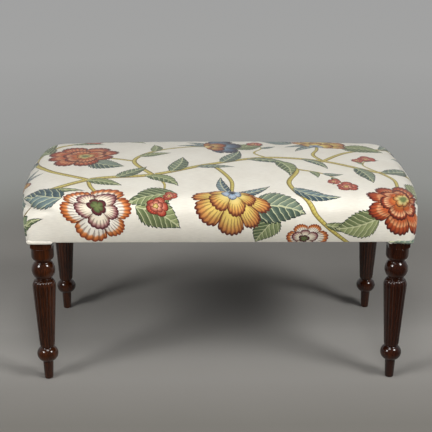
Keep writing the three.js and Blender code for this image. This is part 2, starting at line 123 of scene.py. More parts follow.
def cornerAttribute(mesh, name, values):  # a vector at each corner of each face
    flat = np.zeros((len(mesh.loops), 3), np.float32)
    flat[:, : values.shape[-1]] = values.reshape(len(mesh.loops), -1)
    mesh.attributes.new(name, "FLOAT_VECTOR", "CORNER").data.foreach_set("vector", flat.ravel())


def linearColour(code):  # an sRGB hex colour as linear red, green, blue and alpha
    parts = [int(code[place : place + 2], 16) / 255 for place in (1, 3, 5)]
    return (*[part / 12.92 if part <= 0.04045 else ((part + 0.055) / 1.055) ** 2.4 for part in parts], 1)


def thicken(piece, thickness, offset=0):  # both ways, or inwards only where the offset is -1
    solid = piece.modifiers.new("thickness", "SOLIDIFY")
    solid.thickness = thickness * mm
    solid.offset = offset


# Adds a node with its settings and links, and gives one output. A kind in capitals is an
# operation of the Math node. The inputs come in the node's own order, or by name in one
# dictionary. MapRange takes the value, where it runs from and to, and what that becomes.
def addNode(tree, kind, *inputs, out=0, stops=None, **settings):
    if kind.isupper():
        kind, settings["operation"] = "Math", kind
    node = tree.nodes.new("ShaderNode" + kind)
    for name, value in settings.items():
        setattr(node, name, value)
    named = len(inputs) == 1 and isinstance(inputs[0], dict)
    for key, value in inputs[0].items() if named else enumerate(inputs):
        if isinstance(value, bpy.types.NodeSocket):
            tree.links.new(value, node.inputs[key])
        else:
            node.inputs[key].default_value = linearColour(value) if isinstance(value, str) else value
    if stops:
        ramp = node.color_ramp
        while len(ramp.elements) < len(stops):
            ramp.elements.new(0.5)
        for element, (position, code) in zip(ramp.elements, stops):
            element.position = position
            element.color = linearColour(code)
    return node if out is None else node.outputs[out]


# A material whose shader has these fixed values, and the function that adds its other nodes
def newMaterial(name, **values):
    material = bpy.data.materials.new(name)
    material.use_nodes = True
    tree = material.node_tree
    shader = tree.nodes["Principled BSDF"]
    for key, value in values.items():
        shader.inputs[key.replace("_", " ")].default_value = value
    return material, partial(addNode, tree), shader


# Links what varies over a material to its shader. The relief is a height from 0 to 1, its
# strength and its depth in millimetres.
def finishShader(shader, colour, rough=None, relief=None):
    tree = shader.id_data
    ends = {"Base Color": colour, "Roughness": rough}
    if relief:
        height, strength, depth = relief
        raised = {"Height": height, "Strength": strength, "Distance": depth * mm}
        ends["Normal"] = addNode(tree, "Bump", raised, out="Normal")
    for name, value in ends.items():
        if value is not None:
            tree.links.new(value, shader.inputs[name])


# French-polished mahogany: deep red brown with long fine pores under a hard clear gloss
def polishedMahogany():
    look = {
        "tones": [(0.36, "#1a0a04"), (0.5, "#2f1507"), (0.66, "#4a230b")],
        "groove": "#120603",  # darker in the reeds' hollows, by their depth
        "paintedLegShade": "#1c0503",  # painted shade: each leg has its own share of this, the front right leg most
        "pore": "#0d0402",
        "poreInk": 0.35,
        "poreEnds": (0.28, 0.36),  # the pores' noise is pore below the first and plain over the other
        "figure": 22,  # millimetres across the figure and the grain
        "grain": 1.6,
        "pores": 0.5,  # the real ones, 0.2, are too fine to show
        "drawnOut": 0.06,  # how they are stretched along a leg
        "sheen": (0.26, 0.4),  # roughness between the grain's streaks and on them
        "relief": (0.12, 0.4),  # its strength, and its depth in millimetres
    }
    material, add, shader = newMaterial(
        "polishedMahogany", Roughness=0.3, Specular_IOR_Level=0.05, Coat_Weight=1.0, Coat_Roughness=0.03
    )
    place = add("TexCoord", out="Object")
    along = add("Mapping", {"Vector": place, "Scale": (1, 1, look["drawnOut"])})
    broad = {"Vector": along, "Scale": 1 / (look["figure"] * mm), "Detail": 5, "Distortion": 0.6}
    figure = add("TexNoise", broad)
    streak = add("TexNoise", {"Vector": along, "Scale": 1 / (look["grain"] * mm), "Detail": 3})
    pores = add("TexNoise", {"Vector": along, "Scale": 1 / (look["pores"] * mm), "Detail": 1})
    both = add("ADD", figure, streak)
    half = add("MULTIPLY", both, 0.5)
    colour = add("ValToRGB", half, stops=look["tones"])
    # Darker in the reeds' hollows, and on each leg by its share of painted shade
    for name in ("groove", "paintedLegShade"):
        share = add("Attribute", attribute_name=name, out="Fac")
        colour = add("MixRGB", share, colour, look[name])
    poreShare = add("MapRange", pores, *look["poreEnds"], look["poreInk"], 0)
    colour = add("MixRGB", poreShare, colour, look["pore"])
    rough = add("MapRange", streak, 0, 1, *look["sheen"])
    finishShader(shader, colour, rough, (half, *look["relief"]))
    return material


# Planed, unfinished beech: pale pink tan with short darker ray flecks along the grain
def planedBeech(axis):
    look = {
        "tones": [(0.3, "#b98a5c"), (0.5, "#cfa577"), (0.7, "#dcb98d")],
        "flecks": "#8e6238",
        "fleckInk": 0.3,
        "fleckReach": 0.22,  # how far a fleck fades out from its middle, as a share of its cell
        "grain": 9,  # millimetres across the grain and a fleck's cell
        "fleck": 2.5,
        "drawnOut": 0.05,
        "relief": (0.2, 0.3),
    }
    material, add, shader = newMaterial("planedBeech" + axis, Roughness=0.6, IOR=1.5)
    stretch = [look["drawnOut"] if letter == axis else 1 for letter in "XYZ"]
    place = add("TexCoord", out="Object")
    along = add("Mapping", {"Vector": place, "Scale": stretch})
    rings = add("TexNoise", {"Vector": along, "Scale": 1 / (look["grain"] * mm), "Detail": 4})
    short = {"Vector": along, "Scale": 1 / (look["fleck"] * mm)}
    flecks = add("TexVoronoi", short, out="Distance")
    colour = add("ValToRGB", rings, stops=look["tones"])
    mask = add("MapRange", flecks, 0, look["fleckReach"], look["fleckInk"], 0)
    colour = add("MixRGB", mask, colour, look["flecks"])
    finishShader(shader, colour, relief=(rings, *look["relief"]))
    return material


# Steel, plated or bare: machined, with a fine uneven sheen
def platedSteel(name, light, dark):
    patch, sheen = 3, (0.25, 0.5)  # millimetres across a patch, and roughness from patch to patch
    material, add, shader = newMaterial(name, Metallic=1.0, Roughness=0.35)
    place = add("TexCoord", out="Object")
    patches = add("TexNoise", {"Vector": place, "Scale": 1 / (patch * mm), "Detail": 3})
    colour = add("ValToRGB", patches, stops=[(0.35, dark), (0.65, light)])
    finishShader(shader, colour, add("MapRange", patches, 0, 1, *sheen))
    return material


clothLooks = {  # pitch of the threads and length of the slubs in mm, and the slubs' tones
    # Jute webbing, tightly woven: tan cords with a brown stripe near each edge
    "juteWebbing": {
        "pitch": 2.2,
        "slub": 30,
        "tones": ("#8a7048", "#9c8054", "#b09466"),
        "gap": 0.6,  # how much of the painted shade shows between the threads
        "shade": "#5f4a2c",
        "relief": 0.8,
        "stripe": "#6b3b22",
        "stripeAt": 16,
        "stripeHalf": 2.2,
    },
    # Jute hessian, loosely woven: pale brown uneven yarns, with painted shade in the holes
    "juteHessian": {
        "pitch": 1.8,
        "slub": 18,
        "tones": ("#9a8156", "#b39a6e", "#c8b086"),
        "gap": 0.75,
        "shade": "#57452a",
        "relief": 0.9,
    },
    # Cotton cambric, dyed black and closely woven: flat and dull
    "blackCambric": {
        "pitch": 1.3,  # the real threads, 0.4, are too fine to show
        "slub": 40,
        "tones": ("#131316", "#19191c", "#222226"),
        "gap": 0.5,
        "shade": "#08080a",
        "relief": 0.4,
    },
    # The cover's own linen without ink, for the turned hems: cream and slubby
    "plainLinen": {
        "pitch": 1.5,  # as the printed linen's
        "slub": 6,
        "tones": ("#ddd6c8", "#e8e2d5", "#efeade"),
        "gap": 0.12,
        "shade": "#b8ad98",
        "relief": 0.35,
    },
}


# A plain woven cloth whose threads follow the piece's own "cloth" coordinates, in metres
def wovenCloth(name):
    look = clothLooks[name]
    threadRise = look["pitch"] * 0.4  # the relief's depth
    material, add, shader = newMaterial(name, Roughness=0.9, Specular_IOR_Level=0.25)
    cloth = add("Attribute", attribute_name="cloth", out="Vector")
    weave, height = weaveNodes(add, cloth, look["pitch"])
    slubs = add("TexNoise", {"Vector": cloth, "Scale": 1 / (look["slub"] * mm), "Detail": 4})
    tones = list(zip((0.3, 0.5, 0.7), look["tones"]))
    colour = add("ValToRGB", slubs, stops=tones)
    # painted shade between the threads
    gaps = add("MapRange", weave, 0, 0.5, look["gap"], 0)
    colour = add("MixRGB", gaps, colour, look["shade"])
    if "stripe" in look:
        across = add("SeparateXYZ", cloth, out="Y")
        fromMiddle = add("ABSOLUTE", across)
        line = add("COMPARE", fromMiddle, look["stripeAt"] * mm, look["stripeHalf"] * mm)
        colour = add("MixRGB", line, colour, look["stripe"])
    finishShader(shader, colour, relief=(height, look["relief"], threadRise))
    return material


# Over and under threads: the product of two sines picks which thread is on top, and the
# size of each thread's own sine is its height. Gives the threads' cover and their height.
def weaveNodes(add, cloth, pitch):
    turn = math.pi / (pitch * mm)
    angles = add("VectorMath", cloth, (turn, turn, 0), operation="MULTIPLY")
    apart = add("SeparateXYZ", angles, out=None).outputs
    threads = [add("SINE", apart[axis]) for axis in "XY"]
    warpSize, weftSize = [add("ABSOLUTE", thread) for thread in threads]
    both = add("MULTIPLY", *threads)
    over = add("GREATER_THAN", both, 0)
    height = add("Mix", {"Factor": over, "A": weftSize, "B": warpSize}, out="Result")
    return add("MULTIPLY", warpSize, weftSize), height


# The print is a generic crewel style of flowers, laid out on the flat cloth in millimetres from
# the seat's middle. Every stem is its points, its widths at the start and at the end, and the
# length of the leaves beside it. A great leaf is u, v, direction and length. A bloom is its
# kind, u, v, radius and the direction that it faces. Directions are in degrees from +u.
flowerPrint = {
    "ground": "#ece7da",
    "shadeGround": "#e7e1d3",
    "leafEdge": "#27302c",
    "hatch": "#5a2a1c",
    "stemTop": [
        ([(-470, -345), (-405, -215), (-290, -120), (-150, -95), (-20, -25), (110, 25), (240, 0),
          (360, -65), (470, -45), (610, -95)], 17, 11, 98),
        ([(-150, -95), (-195, 0), (-150, 85), (-75, 128), (-22, 131)], 12, 8, 84),
        ([(110, 25), (172, -60), (150, -150), (196, -250), (290, -345)], 13, 9, 96),
        ([(-290, -120), (-385, -45), (-430, 60), (-385, 150), (-260, 205), (-120, 250),
          (20, 330)], 12, 9, 86),
        ([(240, 0), (305, 80), (400, 130), (520, 120), (620, 170)], 11, 9, 86),
        ([(-620, 20), (-520, 60), (-430, 60)], 9, 10, 70),
        ([(60, 330), (190, 250), (330, 262), (430, 215), (470, 130)], 11, 8, 86),
    ],
    "stemLow": [
        ([(-20, -25), (4, -75), (24, -135), (23, -186)], 11, 9, 0),
        ([(-290, -120), (-282, -160), (-262, -200)], 10, 9, 0),
        ([(-150, -95), (-122, -150), (-128, -222)], 8, 3, 44),
        ([(172, -60), (236, -92), (268, -146)], 8, 3, 44),
        ([(360, -65), (386, -110), (384, -170)], 10, 8, 0),
        ([(-195, 0), (-240, 22), (-290, 50)], 9, 8, 0),
        ([(240, 0), (222, 50), (236, 100), (239, 134)], 10, 8, 0),
        ([(-385, 150), (-345, 172), (-312, 190)], 6, 3, 0),
        ([(110, 25), (84, 66), (104, 112), (92, 152)], 7, 3, 46),
        ([(470, -45), (486, 0), (476, 64)], 9, 7, 0),
        ([(-430, 60), (-466, 20), (-465, -52)], 9, 7, 0),
        ([(360, -65), (330, -20), (344, 24)], 6, 3, 40),
    ],
    "greatLeaves": [
        (62, -238, -8, 118), (-96, -196, 200, 104), (-178, -238, -28, 104), (120, -262, 236, 84),
        (-330, -212, 158, 116), (-300, 8, -28, 96), (338, -262, 196, 100), (418, -170, 62, 112),
        (296, 128, -14, 104), (180, 166, 148, 92), (-398, 96, 118, 96), (24, 118, 24, 96),
        (-452, -118, 236, 96), (452, 92, -58, 92),
    ],
    "blooms": [
        ("palmette", 22, -206, 98, 262),
        ("daisy", -262, -246, 78, 250),
        ("rosette", -322, 58, 86, 150),
        ("tulip", -18, 132, 84, 12),
        ("palmette", 240, 142, 84, 66),
        ("rosette", 386, -226, 80, 300),
        ("floret", -132, -236, 25, 0),
        ("floret", -108, -206, 17, 40),
        ("floret", 276, -160, 25, 20),
        ("floret", 250, -134, 16, 0),
        ("floret", -302, 196, 24, 0),
        ("floret", 90, 164, 22, 10),
        ("floret", 346, 34, 23, 30),
        ("floret", 322, 16, 15, 0),
        ("palmette", -466, -62, 72, 240),
        ("tulip", 474, 74, 70, 70),
        ("rosette", 40, 318, 74, 0),
        ("daisy", -286, 292, 70, 0),
        ("palmette", 300, 308, 74, 100),
        ("daisy", 184, -318, 46, 0),
    ],
}
bloomForms = {  # petals in the outer and inner rings, and 1 for a fan or 0 for a full round
    "rosette": (8, 6, 0),
    "palmette": (9, 7, 1),
    "daisy": (6, 5, 0),
    "tulip": (7, 5, 1),
    "floret": (5, 5, 0),
}
ringPaints = {  # each kind's outer ring, inner ring and eye, from the ring's middle to its edge
    "rosette": [
        [(0.4, "#a8462a"), (0.6, "#bf5f33"), (0.74, "#e0a070"), (0.79, "#b5532b"), (0.92, "#93391f"),
         (0.95, "#4f1c18")],
        [(0.3, "#c9803f"), (0.6, "#b5532b"), (0.8, "#e3b184"), (0.85, "#a8462a"), (0.93, "#4f1c18")],
        [(0.3, "#6f7a4a"), (0.62, "#d9c583"), (0.86, "#c9803f"), (0.94, "#4a2a20")],
    ],
    "palmette": [
        [(0.5, "#d9c068"), (0.7, "#d8b765"), (0.8, "#cf9a55"), (0.9, "#bf7c45"), (0.96, "#5f2a20")],
        [(0.3, "#e4d48c"), (0.66, "#d9b863"), (0.84, "#c98a4a"), (0.94, "#6a3322")],
        [(0.3, "#3a3a40"), (0.42, "#8aa4bd"), (0.7, "#c3d2df"), (0.9, "#8a9fb4"), (0.96, "#44525f")],
    ],
    "daisy": [
        [(0.5, "#f1ece0"), (0.76, "#efe6d6"), (0.82, "#e2985c"), (0.9, "#cf7237"), (0.96, "#8f4524")],
        [(0.3, "#ece4d2"), (0.7, "#e9dcc4"), (0.84, "#b98a86"), (0.94, "#5a2630")],
        [(0.3, "#6f7a4a"), (0.6, "#4f5f3a"), (0.74, "#5f2a34"), (0.95, "#3f1a20")],
    ],
    "tulip": [
        [(0.4, "#8fa3ad"), (0.62, "#6d879a"), (0.8, "#465f76"), (0.93, "#212f3b")],
        [(0.3, "#c7b27a"), (0.6, "#b98a4a"), (0.84, "#a8522c"), (0.94, "#4a1f18")],
        [(0.3, "#e0cd8a"), (0.7, "#c9803f"), (0.95, "#5a2a1c")],
    ],
    "floret": [
        [(0.4, "#d99a86"), (0.7, "#c4604a"), (0.86, "#b04030"), (0.94, "#5a1c1c")],
        [(0.3, "#e6b8a0"), (0.7, "#c9705a"), (0.94, "#7a2c26")],
        [(0.3, "#d9c583"), (0.7, "#c9a04a"), (0.95, "#5a3a1c")],
    ],
}


# A smooth line through the points: between two points a cubic curve, whose slope at each point is
# half the step from the point before to the point after. Gives its directions and lengths too.
def branchLine(points, spacing=2.5):
    knots = np.array([points[0], *points, points[-1]], float)
    share = np.linspace(0, 1, 80, endpoint=False)[:, None, None]
    before, start, end, after = knots[:-3], knots[1:-2], knots[2:-1], knots[3:]
    curve = 0.5 * (
        2 * start
        + (end - before) * share
        + (2 * before - 5 * start + 4 * end - after) * share**2
        + (3 * start - before - 3 * end + after) * share**3
    )
    curve = curve.transpose(1, 0, 2).reshape(-1, 2)
    steps = runAlong(curve)
    length = np.arange(0, steps[-1], spacing)
    line = np.stack([np.interp(length, steps, curve[:, axis]) for axis in (0, 1)], -1)
    tangent = np.gradient(line, axis=0)
    return line, tangent / np.linalg.norm(tangent, axis=1)[:, None], length


# Every leaf as (base, direction in radians, length, bend, style), the most important first. A
# style is 0 slender, 1 broad or 2 great, plus a tint below 1. Leaves stand in turn on both
# sides of a stem, and are left out where a tip would touch a bloom.
def leafSprays():
    sway = {"lean": (0.5, 0.9), "bend": (0.04, 0.16), "size": (0.88, 1.12), "pitch": 0.66}
    first, last, clear = 32, 12, 0.9  # room at a stem's ends, and the share of a bloom kept free
    sepals = {"directions": (-0.95, -0.35, 0.35, 0.95), "size": 0.98, "bend": 0.1, "style": 0.93}
    blooms = np.array([bloom[1:4] for bloom in flowerPrint["blooms"]])
    leaves = []
    for turn, (u, v, direction, size) in enumerate(flowerPrint["greatLeaves"]):
        bend = (0.08, -0.08)[turn % 2]
        style = 2 + chance.uniform(0.05, 0.9)
        leaves.append((np.array([u, v]), math.radians(direction), size, bend, style))
    for kind, u, v, radius, facing in flowerPrint["blooms"]:
        if bloomForms[kind][2]:
            for fromFoot in sepals["directions"]:  # round the foot of a fan
                direction = math.radians(facing + 180) + fromFoot
                bend = sepals["bend"] * np.sign(fromFoot)
                size = radius * sepals["size"]
                leaves.append((np.array([u, v]), direction, size, bend, sepals["style"]))
    for points, _, _, leafLength in flowerPrint["stemTop"] + flowerPrint["stemLow"]:
        if not leafLength:
            continue
        line, tangent, length = branchLine(points)
        for turn, place in enumerate(np.arange(first, length[-1] - last, leafLength * sway["pitch"])):
            at = np.searchsorted(length, place)
            side = (-1, 1)[turn % 2]
            direction = math.atan2(tangent[at, 1], tangent[at, 0]) + side * chance.uniform(*sway["lean"])
            size = leafLength * chance.uniform(*sway["size"])
            style = chance.integers(0, 2) + chance.uniform(0.05, 0.9)
            bend = -side * chance.uniform(*sway["bend"])
            tip = line[at] + size * np.array([math.cos(direction), math.sin(direction)])
            apart = np.linalg.norm(blooms[:, :2] - tip, axis=1) - blooms[:, 2] * clear
            if apart.min() > 0:
                leaves.append((line[at], direction, size, bend, style))
    return leaves


# A motif's own coordinates at the corners of faces: moved to its origin, turned and divided by
# its size, with a third value that says what it is
def ownPlaces(flats, origin, direction, size, kind):
    cosine, sine = math.cos(direction), math.sin(direction)
    local = (flats - np.array(origin)) @ np.array([[cosine, -sine], [sine, cosine]]) / size
    return np.concatenate([local, np.full((*local.shape[:-1], 1), float(kind))], -1)


# For each motif, the faces that it covers get its own coordinates at their corners. Where two
# stems or two blooms meet, a face goes to the nearer one. A leaf that would cover two others
# is left out. flats are the flat places of the faces' corners, in millimetres.
def layPrint(mesh, flats):
    outside = 9  # further from a stem's middle than its half width
    leafRoom, leafReach, leafSides = 1.3, 0.6, (0.3, 0.3, 0.5)  # in lengths of the leaf
    bloomReach = 1.25  # in radii
    names = ("stemLow", "stemTop", "leafLow", "leafTop", "bloom", "bloomForm")
    layers = {name: np.zeros((*flats.shape[:2], 3)) for name in names}
    centre = flats.mean(1)
    for name in ("stemLow", "stemTop"):
        layers[name][..., 0] = outside
        for number, (points, *widths, _) in enumerate(flowerPrint[name]):
            layStem(layers[name], flats, centre, branchLine(points), widths, number)
    for base, direction, size, bend, style in leafSprays():
        near = np.flatnonzero(np.linalg.norm(centre - base, axis=1) < size * leafRoom)
        local = ownPlaces(flats[near], base, direction, size, 1 + style)
        local[..., 1] -= 4 * bend * local[..., 0] * (1 - local[..., 0])
        middle = local.mean(1)
        covered = np.abs(middle[:, 0] - 0.5) < leafReach
        covered &= np.abs(middle[:, 1]) < leafSides[int(style)]
        for name in ("leafTop", "leafLow"):
            if not layers[name][near[covered], :, 2].any():
                layers[name][near[covered]] = local[covered]
                break
    nearest = np.full(len(flats), np.inf)
    for kind, u, v, radius, facing in flowerPrint["blooms"]:
        number = list(bloomForms).index(kind) + 1
        local = ownPlaces(flats, (u, v), math.radians(facing - 90), radius, number)
        distance = np.linalg.norm(local[..., :2].mean(1), axis=-1)
        covered = (distance < bloomReach) & (distance < nearest)
        nearest[covered] = distance[covered]
        layers["bloom"][covered] = local[covered]
        layers["bloomForm"][covered] = bloomForms[kind]
    for name, values in layers.items():
        cornerAttribute(mesh, name, values)
    cornerAttribute(mesh, "cloth", flats * mm)


# A stem's coordinates: the distance from its middle line in half widths, which end at its ends,
# and the length along it. It is laid in short runs, so that the distance tables stay small.
def layStem(layer, flats, centre, branch, widths, number):
    line, tangent, length = branch
    run, margin = 40, 18
    for low in range(0, len(line), run):
        part = slice(max(low - 2, 0), low + run + 2)
        box = line[part]
        beside = (centre > box.min(0) - margin) & (centre < box.max(0) + margin)
        near = np.flatnonzero(beside.all(axis=1))
        if not len(near):
            continue
        offset = flats[near][:, :, None, :] - box
        closest = np.linalg.norm(offset, axis=-1).argmin(-1)
        away = np.take_along_axis(offset, closest[..., None, None], 2)[:, :, 0]
        along = tangent[part][closest]
        side = along[..., 0] * away[..., 1] - along[..., 1] * away[..., 0]
        ahead = (along * away).sum(-1)
        place = length[part][closest] + ahead
        half = np.interp(place, [0, length[-1]], [widths[0] / 2, widths[1] / 2])
        stem = np.stack([side / half, place, np.full(place.shape, number % 3)], -1)
        better = np.abs(stem[..., 0]).min(1) < np.abs(layer[near, :, 0]).min(1)
        better &= np.abs(ahead).max(1) < margin / 2
        layer[near[better]] = stem[better]


# Medium weight linen, screen printed: a matt slubby weave, with painted shade between the threads and a
# painted highlight on them
def printedLinen():
    look = {
        "thread": 1.5,  # the real threads, 0.6, are too fine to show
        "slub": 14,
        "slubStretch": 0.12,
        "blotch": 60,
        "cloud": 11,
        "waver": 0.045,  # how far the drawing strays, as drawn by hand, in motifs
        "slubShade": (0.92, 1.03),
        "threadShade": (0.95, 1.02),  # painted shade between the threads and painted highlight on them
        "relief": (0.3, 0.35),
    }
    material, add, shader = newMaterial(
        "printedLinen", Roughness=0.86, Specular_IOR_Level=0.25, Sheen_Weight=0.35, Sheen_Roughness=0.4
    )
    cloth = add("Attribute", attribute_name="cloth", out="Vector")
    cloudy = {"Vector": cloth, "Scale": 1 / (look["cloud"] * mm), "Detail": 2}
    cloud = add("TexNoise", cloudy, out="Color")
    shake = add("VectorMath", cloud, (0.5, 0.5, 0.5), operation="SUBTRACT")
    waver = (look["waver"], look["waver"], 0)
    shake = add("VectorMath", shake, waver, operation="MULTIPLY")
    blotch = add("TexNoise", {"Vector": cloth, "Scale": 1 / (look["blotch"] * mm), "Detail": 3})
    grounds = [(0.35, flowerPrint["shadeGround"]), (0.6, flowerPrint["ground"])]
    colour = add("ValToRGB", blotch, stops=grounds)
    for name in ("stemLow", "stemTop"):
        colour = stemPaint(add, colour, name)
    for name in ("leafLow", "leafTop"):
        colour = leafPaint(add, colour, name, shake)
    colour = bloomPaint(add, colour, shake)
    weave, height = weaveNodes(add, cloth, look["thread"])
    stretched = add("Mapping", {"Vector": cloth, "Scale": (look["slubStretch"], 1, 1)})
    slubSize = look["slub"] * look["slubStretch"] * mm
    slubs = add("TexNoise", {"Vector": stretched, "Scale": 1 / slubSize, "Detail": 2})
    thin = add("MapRange", slubs, 0.3, 0.7, *look["slubShade"])
    hollow = add("MapRange", weave, 0, 1, *look["threadShade"])
    shade = add("MULTIPLY", thin, hollow)
    # the print, darker and lighter by the slubs, with the threads' painted shade and highlight
    shadedPrint = add("VectorMath", {0: colour, "Scale": shade}, operation="SCALE")
    uneven = add("ADD", height, slubs)
    finishShader(shader, shadedPrint, relief=(uneven, *look["relief"]))
    return material


stemLook = {
    "bark": [(0, "#4f4120"), (0.16, "#8f7c3c"), (0.3, "#b7a552"), (0.6, "#d0c26c"), (0.84, "#c2b25e"),
             (0.94, "#5f5028")],
    "tickPitch": 9,
    "tickShare": 0.2,
    "slant": 0.35,
    "tickInk": 0.5,
    "tick": "#7a652f",
}


# A stem: ochre with a darker lower side, small slanting ticks and a brown edge
def stemPaint(add, colour, name):
    place = add("Attribute", attribute_name=name, out="Vector")
    apart = add("SeparateXYZ", place, out=None).outputs
    across = add("MapRange", apart["X"], -1, 1)
    paint = add("ValToRGB", across, stops=stemLook["bark"])
    size = add("ABSOLUTE", apart["X"])
    slant = add("MULTIPLY", size, stemLook["slant"])
    ticks = add("MULTIPLY_ADD", apart["Y"], 1 / stemLook["tickPitch"], slant)
    ticks = add("FRACT", ticks)
    tick = add("LESS_THAN", ticks, stemLook["tickShare"])
    faint = add("MULTIPLY", tick, stemLook["tickInk"])
    paint = add("MixRGB", faint, paint, stemLook["tick"])
    inside = add("LESS_THAN", size, 1)
    return add("MixRGB", inside, colour, paint)


leafLook = {  # sizes are shares of a leaf's length
    "belly": 0.72,  # below 1, the widest place is nearer the foot
    "halfWidth": 0.14,
    "broader": 0.06,  # added for a broad leaf
    "greater": 0.15,  # added again for a great one
    "teeth": 12,
    "toothReach": (0.9, 1.04),
    "veins": 7,
    "vein": 0.13,
    "midrib": 0.014,
    "veinInk": 0.75,
    "veinPaint": "#cfcfa6",
    "lobeShade": (0.15, 0.85),  # from a lobe's foot to its tip
    "sideShade": (0.4, -0.12),  # added on the lower and the upper side
    "hatches": 5,  # between two veins
    "hatch": 0.3,
    "hatchFrom": 0.45,
    "hatchInk": 0.45,
    "edge": 0.019,
    "lights": [(0.1, "#a5ad78"), (0.4, "#8f9c6c"), (0.7, "#8b9a88"), (0.97, "#8097a4")],
    "darks": [(0.1, "#65714a"), (0.4, "#4f5f42"), (0.7, "#46574f"), (0.97, "#3a5064")],
}


# A leaf: its half width is a sine of its length with small teeth. Between its pale slanting
# veins each lobe shades from light to dark, one side of the midrib is darker and hatched,
# and a dark line runs round the edge.
def leafPaint(add, colour, name, shake):
    look = leafLook
    raw = add("Attribute", attribute_name=name, out="Vector")
    kind = add("SeparateXYZ", raw, out="Z")
    drawn = add("VectorMath", raw, shake, operation="ADD")
    apart = add("SeparateXYZ", drawn, out=None).outputs
    along = add("Clamp", apart["X"], 0, 1)
    belly = add("POWER", along, look["belly"])
    belly = add("MULTIPLY", belly, math.pi)
    belly = add("SINE", belly)
    broad = add("GREATER_THAN", kind, 2)
    great = add("GREATER_THAN", kind, 3)
    width = add("MULTIPLY_ADD", broad, look["broader"], look["halfWidth"])
    width = add("MULTIPLY_ADD", great, look["greater"], width)
    teeth = add("MULTIPLY", along, look["teeth"])
    teeth = add("FRACT", teeth)
    teeth = add("MapRange", teeth, 0, 1, *look["toothReach"])
    half = add("MULTIPLY", belly, width)
    half = add("MULTIPLY", half, teeth)
    half = add("MAXIMUM", half, 0.00001)
    size = add("ABSOLUTE", apart["Y"])
    share = add("DIVIDE", size, half)
    tint = add("FRACT", kind)
    light = add("ValToRGB", tint, stops=look["lights"])
    dark = add("ValToRGB", tint, stops=look["darks"])
    upper = add("GREATER_THAN", apart["Y"], 0)
    veins = add("MULTIPLY", size, -look["veins"])
    veins = add("MULTIPLY_ADD", along, look["veins"], veins)
    lobe = add("FRACT", veins)
    shaded = add("MapRange", lobe, 0, 1, *look["lobeShade"])
    side = add("MapRange", upper, 0, 1, *look["sideShade"])
    depth = add("ADD", shaded, side)
    depth = add("Clamp", depth, 0, 1)
    paint = add("MixRGB", depth, light, dark)
    hatch = add("MULTIPLY", veins, look["hatches"])
    hatch = add("FRACT", hatch)
    hatch = add("LESS_THAN", hatch, look["hatch"])
    outer = add("GREATER_THAN", share, look["hatchFrom"])
    hatch = add("MULTIPLY", hatch, outer)
    hatch = add("MULTIPLY", hatch, look["hatchInk"])
    paint = add("MixRGB", hatch, paint, flowerPrint["leafEdge"])
    vein = add("LESS_THAN", lobe, look["vein"])
    midrib = add("LESS_THAN", size, look["midrib"])
    lines = add("MAXIMUM", vein, midrib)
    lines = add("MULTIPLY", lines, look["veinInk"])
    paint = add("MixRGB", lines, paint, look["veinPaint"])
    inward = add("SUBTRACT", half, size)
    edge = add("LESS_THAN", inward, look["edge"])
    paint = add("MixRGB", edge, paint, flowerPrint["leafEdge"])
    inside = add("LESS_THAN", share, 1)
    there = add("GREATER_THAN", kind, 0.5)
    inside = add("MULTIPLY", inside, there)
    return add("MixRGB", inside, colour, paint)


bloomLook = {
    "rings": [  # which of the kind's petal counts a ring has, and its size, place and turn
        {"count": "X", "size": 0.94, "dip": 0.26, "turn": 0, "shift": 0},
        {"count": "Y", "size": 0.6, "dip": 0.3, "turn": math.pi / 4, "shift": 0.1},
        {"count": "Y", "size": 0.26, "dip": 0.3, "turn": 0, "shift": 0.14},
    ],
    "lean": 0.15,  # how far the petals lean round to one side, in radians
    "uneven": 0.07,
    "roundness": 0.5,
    "frills": 3.5,
    "frill": 0.05,
    "fan": (-0.55, 0.35, 0.16, 1),  # a fan closes where the angle's cosine runs between these
    "petalShade": (0.8, 1.03),  # between petals and along a petal's middle
    "rays": 7,
    "rayOver": 0.3,
    "rayFrom": (-0.2, 0.74),
    "rayInk": 0.55,
    "seam": 0.1,
    "seamFrom": 0.4,
    "seamInk": 0.85,
}


